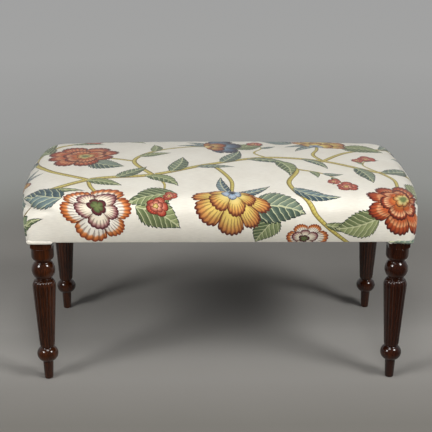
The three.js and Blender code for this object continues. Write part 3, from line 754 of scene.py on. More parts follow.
# A bloom: three rings of petals, each a little nearer the foot than the last. A ring's edge is a
# scalloped function of the angle, uneven by two slow sines. The share of the way to the edge
# picks the paint, with hatching near the edge and dark lines between the petals.
def bloomPaint(add, colour, shake):
    look = bloomLook
    raw = add("Attribute", attribute_name="bloom", out="Vector")
    kind = add("SeparateXYZ", raw, out="Z")
    there = add("GREATER_THAN", kind, 0.5)
    form = add("Attribute", attribute_name="bloomForm", out="Vector")
    form = add("SeparateXYZ", form, out=None).outputs
    drawn = add("VectorMath", raw, shake, operation="ADD")
    flat = add("VectorMath", drawn, (1, 1, 0), operation="MULTIPLY")
    for index, ring in enumerate(look["rings"]):
        place = add("VectorMath", flat, (0, ring["shift"], 0), operation="ADD")
        apart = add("SeparateXYZ", place, out=None).outputs
        reach = add("VectorMath", place, operation="LENGTH", out="Value")
        angle = add("ARCTAN2", apart["X"], apart["Y"])
        sway = add("MULTIPLY_ADD", angle, 2, kind)
        sway = add("SINE", sway)
        bent = add("MULTIPLY_ADD", sway, look["lean"], angle)
        wave = add("MULTIPLY", bent, form[ring["count"]])
        petal = add("MULTIPLY_ADD", wave, 0.5, ring["turn"])
        petal = add("COSINE", petal)
        petal = add("ABSOLUTE", petal)
        lobe = add("POWER", petal, look["roundness"])
        frill = add("MULTIPLY", wave, look["frills"])
        frill = add("COSINE", frill)
        frill = add("ABSOLUTE", frill)
        edge = add("MULTIPLY_ADD", lobe, ring["dip"], 1 - ring["dip"])
        edge = add("MULTIPLY_ADD", frill, look["frill"], edge)
        uneven = add("MULTIPLY_ADD", angle, 3, kind)
        uneven = add("SINE", uneven)
        uneven = add("MULTIPLY_ADD", uneven, look["uneven"] * ring["size"], ring["size"])
        edge = add("MULTIPLY", edge, uneven)
        ahead = add("COSINE", angle)
        opened = add("MapRange", ahead, *look["fan"], interpolation_type="SMOOTHSTEP")
        fan = add("Mix", {"Factor": form["Z"], "A": 1.0, "B": opened}, out="Result")
        edge = add("MULTIPLY", edge, fan)
        share = add("DIVIDE", reach, edge)
        paint = colour
        for number, name in enumerate(bloomForms):
            own = add("ValToRGB", share, stops=ringPaints[name][index])
            this = add("GREATER_THAN", kind, number + 0.5)
            paint = add("MixRGB", this, paint, own)
        rounded = add("MapRange", petal, 0, 1, *look["petalShade"])
        paint = add("VectorMath", {0: paint, "Scale": rounded}, operation="SCALE")
        rays = add("MULTIPLY", wave, look["rays"])
        rays = add("SINE", rays)
        ray = add("GREATER_THAN", rays, look["rayOver"])
        start = add("MULTIPLY_ADD", frill, *look["rayFrom"])
        outer = add("GREATER_THAN", share, start)
        ray = add("MULTIPLY", ray, outer)
        ray = add("MULTIPLY", ray, look["rayInk"])
        paint = add("MixRGB", ray, paint, flowerPrint["hatch"])
        seam = add("LESS_THAN", petal, look["seam"])
        low = add("GREATER_THAN", share, look["seamFrom"])
        seam = add("MULTIPLY", seam, low)
        seam = add("MULTIPLY", seam, look["seamInk"])
        paint = add("MixRGB", seam, paint, flowerPrint["hatch"])
        inside = add("LESS_THAN", share, 1)
        inside = add("MULTIPLY", inside, there)
        colour = add("MixRGB", inside, colour, paint)
    return colour


# Legs, from the floor up
leg = {
    "pegHeight": 44,
    "pegFoot": 19.5,  # diameters
    "pegTop": 23.5,
    "ringHeight": 36,
    "ring": 47.5,
    "ringCore": 0.25,
    "waist": 28,
    "shaftLength": 163,
    "shaftLow": 33.5,
    "shaftHigh": 51.5,
    "shaftFoot": 6,
    "shoulder": 15,
    "neck": 34,
    "neckHeight": 4.5,
    "ball": 51.5,
    "collar": 50,
    "collarRound": 10,
    "collarHeight": 20,
    "pommel": 7,
    "quirk": 0.7,  # depth of the fine cut lines beside the rounds
    "quirkLevels": (0.5, 1.2, 1.8),  # where such a line starts, turns and ends
    "reeds": 16,
    "reedDepth": 1.9,
    "reedRound": 0.98,  # 1 for a full half round
    "perReed": 10,  # points across a reed
    "arris": 26,  # how square the block's edges are
    # each leg's share of painted shade on its wood, the front right leg's most
    "paintedLegShade": {"front_left": 0.0, "front_right": 0.5, "back_right": 0.2, "back_left": 0.1},
}


# The leg as a turned profile: radius, height, and how much of the reed depth is cut there
def legProfile():
    size = leg
    peg, ringTop = size["pegHeight"], size["pegHeight"] + size["ringHeight"]
    pegFoot, pegRim, waist, neck = (size[name] / 2 for name in ("pegFoot", "pegTop", "waist", "neck"))
    ring, ball, collarLine = (size[name] / 2 for name in ("ring", "ball", "collar"))
    foot, top = size["shaftLow"] / 2, size["shaftHigh"] / 2
    core = ring * size["ringCore"]
    bulge = ring - core
    low, high = (math.degrees(math.acos((radius - core) / bulge)) for radius in (pegRim, waist))
    shaftTop = ringTop + size["shaftLength"]
    chord = math.sqrt(size["ball"] ** 2 - size["neck"] ** 2)
    ballLevel = shaftTop + size["neckHeight"] + chord / 2
    ballAngle = math.degrees(math.acos(size["neck"] / size["ball"]))
    collar = ballLevel + chord / 2 + size["neckHeight"]
    collarRound = size["collarRound"]
    blockLevel = collar + collarRound + size["collarHeight"]
    footLevel, shoulderLevel = ringTop + size["shaftFoot"], shaftTop - size["shoulder"]
    pegSide = np.linspace((pegFoot, 3), (pegRim, peg), 12)[1:-1]
    shaft = np.linspace((foot, footLevel), (top, shoulderLevel), 20)
    dome = arc((neck, shoulderLevel), (top - neck, size["shoulder"]), 0, 90, 12)[1:]
    close = arc((waist, footLevel), (foot - waist, size["shaftFoot"]), -90, 0, 7)[:-1]
    quirk = size["quirk"]
    start, middle, end = size["quirkLevels"]
    footRound, blockEdge = 2.5, 1
    pegLine, waistLine, neckLine = pegRim - quirk, waist - quirk, neck - quirk
    cut = 0.4  # half the height of the line over the peg
    parts = [  # (points, share of the reeds' depth)
        ([[0.01, 0]], 0),
        (arc((pegFoot - footRound, footRound), (footRound, footRound), -90, 0, 6), 0),
        (pegSide, 0),
        ([[pegLine, peg - cut], [pegLine, peg + cut]], 0),
        (arc((core, peg + size["ringHeight"] / 2), (bulge, size["ringHeight"] / 2), -low, high, 30), 0),
        ([[waistLine, ringTop - start], [waistLine, ringTop]], 0),
        (close, np.linspace(0.3, 1, len(close))),
        (shaft, 1),
        (dome, np.cos(np.linspace(0.05, 1.5, len(dome))) ** 0.6),
        ([[neckLine, shaftTop + start], [neckLine, shaftTop + middle]], 0),
        ([[neck, shaftTop + end], [neck, shaftTop + size["neckHeight"] - 1]], 0),
        (arc((0, ballLevel), (ball, ball), -ballAngle, ballAngle, 30), 0),
        ([[neck, collar - size["neckHeight"] + 1], [neck, collar - end]], 0),
        ([[neckLine, collar - middle], [neckLine, collar - start]], 0),
        (arc((neck, collar + collarRound), (collarLine - neck, collarRound), -90, 0, 12), 0),
        ([[collarLine, blockLevel - 1.2]], 0),
        (arc((collarLine - blockEdge, blockLevel - blockEdge), (blockEdge, blockEdge), 0, 90, 4), 0),
    ]
    profile = np.vstack([points for points, _ in parts])
    depth = np.concatenate([np.broadcast_to(share, len(points)) for points, share in parts])
    return profile, depth * size["reedDepth"], blockLevel


# One leg: at each height and angle the radius is the profile's less the reed's hollow, which is
# a circle's arc across each reed. The block's radius is the smaller of a nearly sharp square
# and of the pommel's turned quarter round.
def legPoints():
    profile, depth, blockLevel = legProfile()
    columns = leg["reeds"] * leg["perReed"]
    angle = np.arange(columns) * 2 * math.pi / columns
    across = (np.arange(columns) % leg["perReed"]) / leg["perReed"] * 2 - 1
    hollow = 1 - np.sqrt(1 - leg["reedRound"] * across**2)
    hollow = hollow / hollow.max()
    radius = profile[:, :1] - depth[:, None] * hollow
    level = np.broadcast_to(profile[:, 1:], radius.shape)
    groove = depth[:, None] / leg["reedDepth"] * hollow**3
    half = stool["block"] / 2
    power = leg["arris"]
    square = half / (np.abs(np.cos(angle)) ** power + np.abs(np.sin(angle)) ** power) ** (1 / power)
    squareLevel, top = blockLevel + leg["pommel"], stool["railTop"]
    pommel = arc((half, squareLevel), (half * (math.sqrt(2) - 1), leg["pommel"]), -90, 0, 14)
    blockRows = np.vstack([pommel, [[half * 2, squareLevel + 1], [half * 2, top]]])
    blockRadius = np.minimum(square, blockRows[:, :1])
    blockLevels = np.broadcast_to(blockRows[:, 1:], blockRadius.shape)
    radius = np.vstack([radius, blockRadius, np.full((1, columns), 0.01)])
    level = np.vstack([level, blockLevels, np.full((1, columns), top)])
    groove = np.vstack([groove, np.zeros((len(blockRows) + 1, columns))])
    return pointList(radius * np.cos(angle), radius * np.sin(angle), level), groove


def buildLegs(material):
    points, groove = legPoints()
    faces = gridFaces(*groove.shape, closed=True)
    for name, (sideX, sideY) in corners.items():
        place = np.array([sideX * stool["legLong"] / 2, sideY * stool["legDeep"] / 2, 0])
        piece = meshPiece("turnedLeg_" + name, points + place, faces, material)
        # the leg's share of painted shade, kept as an attribute beside the hollows' depth
        paintedLegShade = np.full(groove.size, leg["paintedLegShade"][name])
        for attribute, values in (("groove", groove.ravel()), ("paintedLegShade", paintedLegShade)):
            piece.data.attributes.new(attribute, "FLOAT", "POINT").data.foreach_set("value", values)
        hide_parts("leg_" + name)


# The padded seat
seat = {
    "standOut": 5.5,  # how far the cover stands out from the frame at its lower edge
    "endBulge": 10,  # the same at the widest level
    "sideBulge": 9,
    "bow": 20,  # extra at the middle of each side
    "edgeHeight": 54,  # from the foam's foot to the rolled edge's top
    "rollReach": 36,
    "rollRise": 27,
    "lowerCorner": 12,  # plan radii of the corners, from the lower edge to the top
    "bulgeCorner": 80,
    "topCorner": 24,
    "crown": 13,
    "turnUnder": 21,  # the strip under the rails, measured from the frame's outer face
    "edgeRound": 2.4,  # fold at the lower edge
    "legGap": 0.8,  # left between the cover's cut edge and a leg
    "cutRun": 14,  # length over which the strip narrows beside a leg
    "cloth": 1.2,  # thickness
    "cell": 5,  # size of the mesh's squares
    "settle": 60,  # length of cloth over which its own length along a side takes over
    "waddingFoot": 348.18,
    "waddingInset": 1.7,  # from the cover's outer surface
    "wadding": 6,
    "foamInset": 8,
    "layerCell": 12,
}
bulgeLevel = stool["foamLevel"] + seat["edgeHeight"] - seat["rollRise"]


# One side of a rounded rectangle, from the middle of one corner's round to the next one's, for
# places from -1 to 1 along it: straight and then round by the arc's length. Gives the place
# along the side, the place out from the middle, and the length from the side's middle.
def sideLine(place, along, across, radius):
    length = place * (along - radius + radius * math.pi / 4)
    straight = along - radius
    angle = np.clip(np.abs(length) - straight, 0, None) / radius
    run = np.sign(length) * (np.minimum(np.abs(length), straight) + radius * np.sin(angle))
    return run, across - radius * (1 - np.cos(angle)), length


def turnSide(side, run, out):  # a side's own along and out as the stool's x and y
    return [(run, -out), (out, run), (-run, out), (-out, -run)][side]


# The top's rise over its rim, from the middle by the fourth power along and the square across
def crownRise(x, y):
    return seat["crown"] * (1 - (x / halfLong) ** 4) * (1 - (y / halfDeep) ** 2)


# The wall and rolled edge of one side as a function of down (0 the top's rim, 1 the widest
# level, 2 the lower edge) and place (-1 to 1 along the side). The roll is a quarter ellipse,
# and below it the wall's stand-out follows a quarter sine and the corners grow tighter with
# the fourth power of the height.
def seatWall(side, down, place, inset=0.0):
    angle = (1 - np.clip(down, 0, 1)) * math.pi / 2
    share = 2 - np.clip(down, 1, 2)
    swell = np.sin(share * math.pi / 2)
    rolled = (seat["rollReach"] - inset) * (1 - np.cos(angle)) + inset
    outLong = seat["standOut"] + (seat["endBulge"] - seat["standOut"]) * swell - rolled
    outDeep = seat["standOut"] + (seat["sideBulge"] - seat["standOut"]) * swell - rolled
    roundness = seat["lowerCorner"] + (seat["bulgeCorner"] - seat["lowerCorner"]) * share**4
    radius = roundness + (seat["topCorner"] - seat["bulgeCorner"]) * np.sin(angle) - inset
    sizes = (halfLong + outLong, halfDeep + outDeep)
    run, out, length = sideLine(place, sizes[side % 2], sizes[1 - side % 2], radius)
    x, y = turnSide(side, run, out)
    bow = seat["bow"] * swell
    bowedX = x + bow * x / sizes[0] * (1 - (y / sizes[1]) ** 2)
    bowedY = y + bow * y / sizes[1] * (1 - (x / sizes[0]) ** 2)
    low = stool["coverLevel"]
    level = low + (bulgeLevel - low) * share + (seat["rollRise"] - inset) * np.sin(angle)
    level = level + crownRise(bowedX, bowedY) * np.sin(angle)
    return np.stack([bowedX, bowedY, level], -1), length


# The cover turned under the rails: from the wall's foot it rounds inwards on a quarter circle
# to a strip, which stops at the leg's outer faces near a leg. inward goes from 0 to 1 on the
# round and from 1 to 2 across the strip.
def seatUnder(side, inward, place):
    along, across = halfLong + seat["standOut"], halfDeep + seat["standOut"]
    if side % 2:
        along, across = across, along
    run, _, length = sideLine(place, along, across, seat["lowerCorner"])
    legFree = along - seat["standOut"] - stool["block"] - stool["fitGap"]
    nearLeg = smoothStep((np.abs(run) - legFree + seat["cutRun"]) / seat["cutRun"])
    narrow = seat["standOut"] - seat["legGap"]
    width = (seat["standOut"] + seat["turnUnder"]) * (1 - nearLeg) + narrow * nearLeg
    angle = np.clip(inward, 0, 1) * math.pi / 2
    edge = seat["edgeRound"]
    moved = edge * (1 - np.cos(angle)) + (width - edge) * np.clip(inward - 1, 0, 1)
    radius = np.maximum(seat["lowerCorner"] - moved, 1.5)
    run, out, _ = sideLine(place, along - np.minimum(moved, narrow), across - moved, radius)
    x, y = turnSide(side, run, out)
    level = stool["coverLevel"] + edge * (1 - np.sin(angle))
    return np.stack(np.broadcast_arrays(x, y, level), -1), length


# A surface across a closed rim: the blend of its two long edges plus the blend of its two
# short edges, less the blend of its four corner points
def patchAcross(rim, long, deep):
    ring = np.vstack([rim, rim[:1]])
    front, right = ring[: long + 1], ring[long : long + deep + 1]
    back, left = ring[long + deep : 2 * long + deep + 1][::-1], ring[2 * long + deep :][::-1]
    s = np.linspace(0, 1, long + 1)[None, :, None]
    t = np.linspace(0, 1, deep + 1)[:, None, None]
    edges = (1 - t) * front + t * back + (1 - s) * left[:, None] + s * right[:, None]
    fromCorners = (1 - t) * ((1 - s) * front[0] + s * front[-1]) + t * ((1 - s) * back[0] + s * back[-1])
    return edges - fromCorners


# The seat's whole outer surface: a wall grid for each side, whose rows go down from the top's
# rim, and a grid for the top, with the flat cloth places of both. Down the wall and under
# the rails the cloth keeps its true length.
def seatSurface(cell, inset=0.0, lowest=2.0, under=False):
    long = round(2 * (halfLong - seat["rollReach"]) / cell)
    deep = round(2 * (halfDeep - seat["rollReach"]) / cell)
    rollRows = round((seat["rollReach"] + seat["rollRise"]) * math.pi / 4 / cell) + 1
    wallRows = round((bulgeLevel - stool["coverLevel"]) / cell) + 1
    down = np.concatenate([np.linspace(0, 1, rollRows), np.linspace(1, lowest, wallRows)[1:]])
    walls, flats = [], []
    for side in range(4):
        place = np.linspace(-1, 1, (long, deep)[side % 2] + 1)[None, :]
        points, length = seatWall(side, down[:, None], place, inset)
        if under:
            inward = np.array([0.33, 0.67, 1, 1.2, 1.4, 1.6, 1.8, 2])[:, None]
            strip, stripLength = seatUnder(side, inward, place)
            points = np.concatenate([points, strip])
            length = np.concatenate([length, np.broadcast_to(stripLength, strip.shape[:2])])
        steps = np.linalg.norm(np.diff(points, axis=0), axis=-1)
        drop = np.vstack([np.zeros_like(steps[:1]), np.cumsum(steps, axis=0)])
        x, y = points[0, :, 0], points[0, :, 1]
        run, out = [(x, -y), (y, x), (-x, y), (-y, -x)][side]
        settle = smoothStep(drop / seat["settle"])
        u, v = turnSide(side, run + (length - run) * settle, out + drop)
        walls.append(points)
        flats.append(np.stack([u, v], -1))
    rim = np.concatenate([wall[0, :-1] for wall in walls])
    top = patchAcross(rim, long, deep)
    top[..., 2] = bulgeLevel + seat["rollRise"] - inset + crownRise(top[..., 0], top[..., 1])
    return {
        "walls": walls,
        "top": top,
        "flats": flats,
        "topFlat": top[..., :2].copy(),
        "counts": (long, deep),
        "down": down,
    }


# Joins the wall and the top of a seat surface at the rim: points, faces that look outwards,
# and the flat places of each face's corners
def joinSeat(surface):
    wall = np.concatenate([side[:, :-1] for side in surface["walls"]], axis=1)
    rows, total = wall.shape[:2]
    wallFaces = gridFaces(rows, total, closed=True)[:, ::-1]
    wallFlats = np.concatenate([cellCorners(flat) for flat in surface["flats"]], axis=1)
    index = patchIndex(*surface["counts"], 0, rows * total)
    points = np.concatenate([wall.reshape(-1, 3), surface["top"][1:-1, 1:-1].reshape(-1, 3)])
    faces = np.concatenate([wallFaces, cellCorners(index).reshape(-1, 4)])
    flats = (wallFlats.reshape(-1, 4, 2)[:, ::-1], cellCorners(surface["topFlat"]).reshape(-1, 4, 2))
    return points, faces, np.concatenate(flats)


# Values of a grid at fractional rows and columns, blended between the four nearest
def sampleGrid(grid, row, column):
    beyond = 1.000001  # keeps the next row and column inside the grid
    row = np.clip(row, 0, grid.shape[0] - beyond)
    column = np.clip(column, 0, grid.shape[1] - beyond)
    r, c = row.astype(int), column.astype(int)
    fr, fc = (row - r)[..., None], (column - c)[..., None]
    low = grid[r, c] * (1 - fc) + grid[r, c + 1] * fc
    high = grid[r + 1, c] * (1 - fc) + grid[r + 1, c + 1] * fc
    return low * (1 - fr) + high * fr


def smoothGrid(grid, times):  # each point moves to the mean of itself and its neighbours
    for _ in range(times):
        padded = np.pad(grid, ((1, 1), (1, 1), (0, 0)), mode="edge")
        grid = (
            4 * grid + 2 * (padded[:-2, 1:-1] + padded[2:, 1:-1] + padded[1:-1, :-2] + padded[1:-1, 2:])
            + padded[:-2, :-2] + padded[2:, :-2] + padded[:-2, 2:] + padded[2:, 2:]
        ) / 16
    return grid


# Cloth simulation of the tight cover on a coarse copy: pressed out from inside, held at the
# lower edge, with a little spare cloth at the corners. Gives how far each point moved, capped.
def simulateCover():
    pull = {
        "cell": 9,
        "frames": 20,
        "pressure": 1.2,
        "bending": 0.3,
        "support": 0.12,  # how firmly the padding holds the cloth
        "heldHeight": 6,  # the tacked edge
        "spare": -0.05,
        "spareStart": 70,  # from the frame's outer faces inwards, and the run to its full share
        "spareRun": 60,
        "spareBelow": 22,  # over the widest level
        "spareFade": 40,
        "cap": 4.0,
        "smoothing": 2,
    }
    surface = seatSurface(pull["cell"])
    points, faces, _ = joinSeat(surface)
    trial = addMesh("clothTrial", points, faces)
    rows, total = len(surface["down"]), 2 * sum(surface["counts"])
    level = points[:, 2]
    held = np.where(level < stool["coverLevel"] + pull["heldHeight"], 1.0, pull["support"])
    reach = np.array([halfLong, halfDeep]) - pull["spareStart"]
    near = smoothStep((np.abs(points[:, :2]) - reach) / pull["spareRun"])
    low = smoothStep((bulgeLevel + pull["spareBelow"] - level) / pull["spareFade"])
    spare = near[:, 0] * near[:, 1] * low
    for name, weights in (("held", held.round(2)), ("spare", spare.round(2))):
        group = trial.vertex_groups.new(name=name)
        for weight in np.unique(weights):
            group.add(np.flatnonzero(weights == weight).tolist(), float(weight), "REPLACE")
    cloth = trial.modifiers.new("cloth", "CLOTH")
    values = {
        "vertex_group_mass": "held",
        "vertex_group_shrink": "spare",
        "shrink_min": 0,
        "shrink_max": pull["spare"],
        "use_pressure": True,
        "uniform_pressure_force": pull["pressure"],
        "bending_stiffness": pull["bending"],
        "quality": 5,
    }
    for name, value in values.items():
        setattr(cloth.settings, name, value)
    cloth.settings.effector_weights.gravity = 0
    cloth.point_cache.frame_start = 1
    cloth.point_cache.frame_end = pull["frames"]
    scene = bpy.context.scene
    for number in range(1, pull["frames"] + 1):
        scene.frame_set(number)
    settled = trial.evaluated_get(bpy.context.evaluated_depsgraph_get()).to_mesh()
    ends = np.zeros(len(points) * 3)
    settled.vertices.foreach_get("co", ends)
    moved = ends.reshape(-1, 3) / mm - points
    scene.frame_set(1)
    bpy.data.objects.remove(trial)
    size = np.linalg.norm(moved, axis=1, keepdims=True) + 1e-9
    print("cloth moved, mm:", np.percentile(size, [5, 50, 95, 100]).round(2))
    moved = moved / size * pull["cap"] * np.tanh(size / pull["cap"])
    wall = moved[: rows * total].reshape(rows, total, 3)
    wall = smoothGrid(np.concatenate([wall, wall[:, :1]], axis=1), pull["smoothing"])
    top = smoothGrid(moved[patchIndex(*surface["counts"], 0, rows * total)], pull["smoothing"])
    return {"wall": wall, "top": top, "down": surface["down"], "counts": surface["counts"]}


# Moves a fine seat surface as the coarse cloth moved, each point by its place on the grid
def moveWithCloth(surface, shift):
    if shift is None:
        return
    long, deep = shift["counts"]
    starts = [0, long, long + deep, 2 * long + deep]
    still, fadeIn = 3, 12  # heights over the lower edge
    rows = np.interp(surface["down"], shift["down"], np.arange(len(shift["down"])))
    for side, wall in enumerate(surface["walls"]):
        columns = starts[side] + np.linspace(0, (long, deep)[side % 2], wall.shape[1])
        wall = wall[: len(rows)]
        fade = smoothStep((wall[..., 2] - stool["coverLevel"] - still) / fadeIn)[..., None]
        wall += sampleGrid(shift["wall"], *np.meshgrid(rows, columns, indexing="ij")) * fade
    top = surface["top"]
    places = np.linspace(0, deep, top.shape[0]), np.linspace(0, long, top.shape[1])
    top += sampleGrid(shift["top"], *np.meshgrid(*places, indexing="ij"))


# The printed cover over the whole seat
def buildCover(material, shift):
    foot = 2 - seat["edgeRound"] / (bulgeLevel - stool["coverLevel"])
    surface = seatSurface(seat["cell"], lowest=foot, under=True)
    moveWithCloth(surface, shift)
    tackPulls(surface)
    points, faces, flats = joinSeat(surface)
    piece = meshPiece("seatCover", points, faces, material)
    layPrint(piece.data, flats)
    thicken(piece, seat["cloth"], -1)
    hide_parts("cover")
    return surface


# The pull of the tacks under the rails: the wall dips a little between bulges, by sines along
# each side that fade out upwards and towards the corners
def tackPulls(surface):
    tack = {"pitch": 44, "dip": 0.3, "swell": 61, "swellShare": 0.6, "height": 50}
    plain, ease = 60, 40  # the length that stays plain near a corner, and the run to the full dip
    for side, wall in enumerate(surface["walls"]):
        wall = wall[: len(surface["down"])]
        along = wall[..., side % 2]
        fade = np.clip(1 - (wall[..., 2] - stool["coverLevel"]) / tack["height"], 0, 1) ** 1.5
        wave = np.sin(along / tack["pitch"] * 2 * math.pi + side)
        wave += tack["swellShare"] * np.sin(along / tack["swell"] + 2.1 * side)
        reach = (halfLong, halfDeep)[side % 2] - plain
        inside = smoothStep((reach - np.abs(along)) / ease)
        out = np.array([(0, -1), (1, 0), (0, 1), (-1, 0)][side])
        wall[..., :2] += (tack["dip"] * wave * fade * inside)[..., None] * out


# A layer's outer surface: the seat's own form taken in by an inset, down to a level
def layerSurface(inset, level, shift):
    lowest = 2 - (level - stool["coverLevel"]) / (bulgeLevel - stool["coverLevel"])
    surface = seatSurface(seat["layerCell"], inset, lowest)
    moveWithCloth(surface, shift)
    return surface


# The foam pad: its own form, closed with a flat base
def buildFoam(material, shift):
    surface = layerSurface(seat["foamInset"], stool["foamLevel"], shift)
    points, faces, _ = joinSeat(surface)
    long, deep = surface["counts"]
    total = 2 * (long + deep)
    first = (len(surface["down"]) - 1) * total
    points[first : first + total, 2] = stool["foamLevel"]
    base = patchAcross(points[first : first + total], long, deep)
    baseFaces = cellCorners(patchIndex(long, deep, first, len(points))).reshape(-1, 4)[:, [0, 3, 2, 1]]
    points = np.concatenate([points, base[1:-1, 1:-1].reshape(-1, 3)])
    piece = meshPiece("foamPad", points, np.concatenate([faces, baseFaces]), material)
    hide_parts("foam_pad")


# The wadding between the cover and the foam and rails: an outer and an inner surface joined at
# the foot. Where the inner one would lie in the frame, it is moved out to its nearest face.
def buildWadding(material, shift):
    outer = layerSurface(seat["waddingInset"], seat["waddingFoot"], shift)
    inner = layerSurface(seat["waddingInset"] + seat["wadding"], seat["waddingFoot"], shift)
    points, faces, _ = joinSeat(outer)
    lining, _, _ = joinSeat(inner)
    size = np.abs(lining[:, :2])
    short = np.array([halfLong, halfDeep]) + stool["fitGap"] - size
    hidden = (short.min(1) > 0) & (lining[:, 2] < stool["foamLevel"])
    axis = short.argmin(1)
    rows = np.flatnonzero(hidden)
    lining[rows, axis[rows]] += np.sign(lining[rows, axis[rows]]) * short[rows, axis[rows]]
    total = 2 * sum(outer["counts"])
    first = (len(outer["down"]) - 1) * total
    edge = first + np.arange(total)
    beyond = first + (np.arange(total) + 1) % total
    foot = np.stack([edge, beyond, beyond + len(points), edge + len(points)], -1)
    joined = np.concatenate([faces, faces[:, ::-1] + len(points), foot])
    piece = meshPiece("waddingLayer", np.concatenate([points, lining]), joined, material)
    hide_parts("wadding")


# Polyurethane foam, cut: pale cream with fine open cells, with painted shade in each cell
def cutFoam():
    cell, relief = 1.5, 0.6  # the real cells, 0.8, are too fine to show
    tones = [(0.1, "#bfae78"), (0.35, "#e2d5a4"), (0.7, "#efe5bd")]
    material, add, shader = newMaterial("cutFoam", Roughness=0.95, Specular_IOR_Level=0.2)
    place = add("TexCoord", out="Object")
    cells = add("TexVoronoi", {"Vector": place, "Scale": 1 / (cell * mm)}, out="Distance")
    # painted shade, darkest at each cell's middle
    colour = add("ValToRGB", cells, stops=tones)
    finishShader(shader, colour, relief=(cells, relief, relief))
    return material


# Polyester wadding: soft white tangled fibres. They are too fine to show, so they are drawn as
# strands, by stretched noise in two directions.
def polyesterWadding():
    strand, drawnOut = 1.2, 0.15  # millimetres across, and how it is stretched
    material, add, shader = newMaterial(
        "polyesterWadding", Roughness=1.0, Specular_IOR_Level=0.15, Sheen_Weight=0.4, Sheen_Roughness=0.6
    )
    place = add("TexCoord", out="Object")
    strands = []
    for stretch in ((1, drawnOut, 1), (drawnOut, 1, 1)):
        along = add("Mapping", {"Vector": place, "Scale": stretch})
        strands.append(add("TexNoise", {"Vector": along, "Scale": 1 / (strand * mm), "Detail": 3}))
    tangle = add("MAXIMUM", *strands)
    colour = add("ValToRGB", tangle, stops=[(0.4, "#d9dad8"), (0.6, "#f2f2f0")])
    finishShader(shader, colour, relief=(tangle, 0.7, 1))
    return material


# The numbers of a patch's points: its rim's own, counterclockwise, and then its inner points'
def patchIndex(long, deep, firstRim, firstInner):
    total = 2 * (long + deep)
    index = np.zeros((deep + 1, long + 1), int)
    index[1:-1, 1:-1] = firstInner + np.arange((deep - 1) * (long - 1)).reshape(deep - 1, long - 1)
    index[0] = firstRim + np.arange(long + 1)
    index[:, -1] = firstRim + long + np.arange(deep + 1)
    index[-1] = firstRim + (long + deep + np.arange(long + 1))[::-1]
    index[:, 0] = firstRim + ((2 * long + deep + np.arange(deep + 1)) % total)[::-1]
    return index


# Webbing, hessian and the dust cover
sheets = {
    "webWidth": 50,
    "webThickness": 1.6,
    "webFold": 17,
    "webInset": 2.5,
    "crossCount": 7,
    "crossPitchShare": 0.135,  # of the length between the end rails
    "longCount": 3,
    "longPitchShare": 0.268,  # of the depth between the long rails
    "hessianInset": 2,
    "hessianLevel": 385.4,
    "hessianThickness": 0.7,
    "hessianSwell": 0.15,
    "dustInset": 9,
    "dustThickness": 0.5,
    "dustLevel": 338.8,
    "dustSag": 3.5,
    "dustFold": 13,  # width of the edge that is turned in
    "staplePitch": 37,
    "stapleLength": 11,
    "stapleWire": 0.9,
    "stapleInset": 6,
}


def spread(count, pitch):  # places about the middle
    return (np.arange(count) - (count - 1) / 2) * pitch


crossPitch = sheets["crossPitchShare"] * 2 * (halfLong - stool["railThickness"])
longPitch = sheets["longPitchShare"] * 2 * (halfDeep - stool["railThickness"])


# One strip: a path in length and height, which folds back at both ends and eases over and
# under the strips that it crosses by smooth steps, carried across the strip's width
def webPath(half, crossings, firstOver):
    thick = sheets["webThickness"]
    lift = (thick + stool["fitGap"]) / 2
    level = stool["railTop"] + stool["fitGap"] + thick / 2
    bendIn, railIn = 3, 25  # from the strip's end to its bend's start, and to the rail's inner face
    steps, foldSteps = 160, 8
    x = np.linspace(-half + bendIn, half - bendIn, steps)
    ups = np.where((np.arange(len(crossings)) % 2 == 0) == firstOver, lift, -lift)
    knots = np.concatenate([[-half + railIn], crossings, [half - railIn]])
    heights = np.concatenate([[0], ups, [0]])
    part = np.clip(np.searchsorted(knots, x) - 1, 0, len(knots) - 2)
    share = np.clip((x - knots[part]) / (knots[part + 1] - knots[part]), 0, 1)
    share = smoothStep((share - 0.25) / 0.5)  # level for a quarter of the way at both ends
    z = level + heights[part] + (heights[part + 1] - heights[part]) * share
    bendRound = 0.9
    bend = arc((0, 0), (bendRound, bendRound), -90, 90, 7) + (half - 1.2, level + bendRound)
    foldX = np.linspace(half - 2, half - sheets["webFold"], foldSteps)
    right = np.vstack([bend, np.stack([foldX, np.full(foldSteps, level + 2 * bendRound)], -1)])
    left = (right * (-1, 1))[::-1]
    return np.vstack([left, np.stack([x, z], -1), right])


def buildWebs(material):
    places = {
        "cross": spread(sheets["crossCount"], crossPitch),
        "long": spread(sheets["longCount"], longPitch),
    }
    halves = {"cross": halfDeep - sheets["webInset"], "long": halfLong - sheets["webInset"]}
    across = np.linspace(-0.5, 0.5, 9) * sheets["webWidth"]
    for kind, other in (("cross", "long"), ("long", "cross")):
        for number, place in enumerate(places[kind]):
            firstOver = (number % 2 == 0) == (kind == "cross")
            path = webPath(halves[kind], places[other], firstOver)
            x, z = path[:, :1], path[:, 1:]
            own = (x, across + place, z) if kind == "long" else (place - across, x, z)
            faces = gridFaces(len(path), len(across))[:, ::-1]
            name = f"{kind}_web_{number + 1}"
            piece = meshPiece("strap_" + name, pointList(*own), faces, material)
            clothFlats(piece, runAlong(path)[:, None], across, faces)
            thicken(piece, sheets["webThickness"] * 0.85)
            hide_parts(name)


def clothFlats(piece, u, v, faces):  # flat cloth places of a grid piece at its faces' corners
    flat = np.stack(np.broadcast_arrays(u, v), -1).reshape(-1, 2)
    cornerAttribute(piece.data, "cloth", flat[faces] * mm)


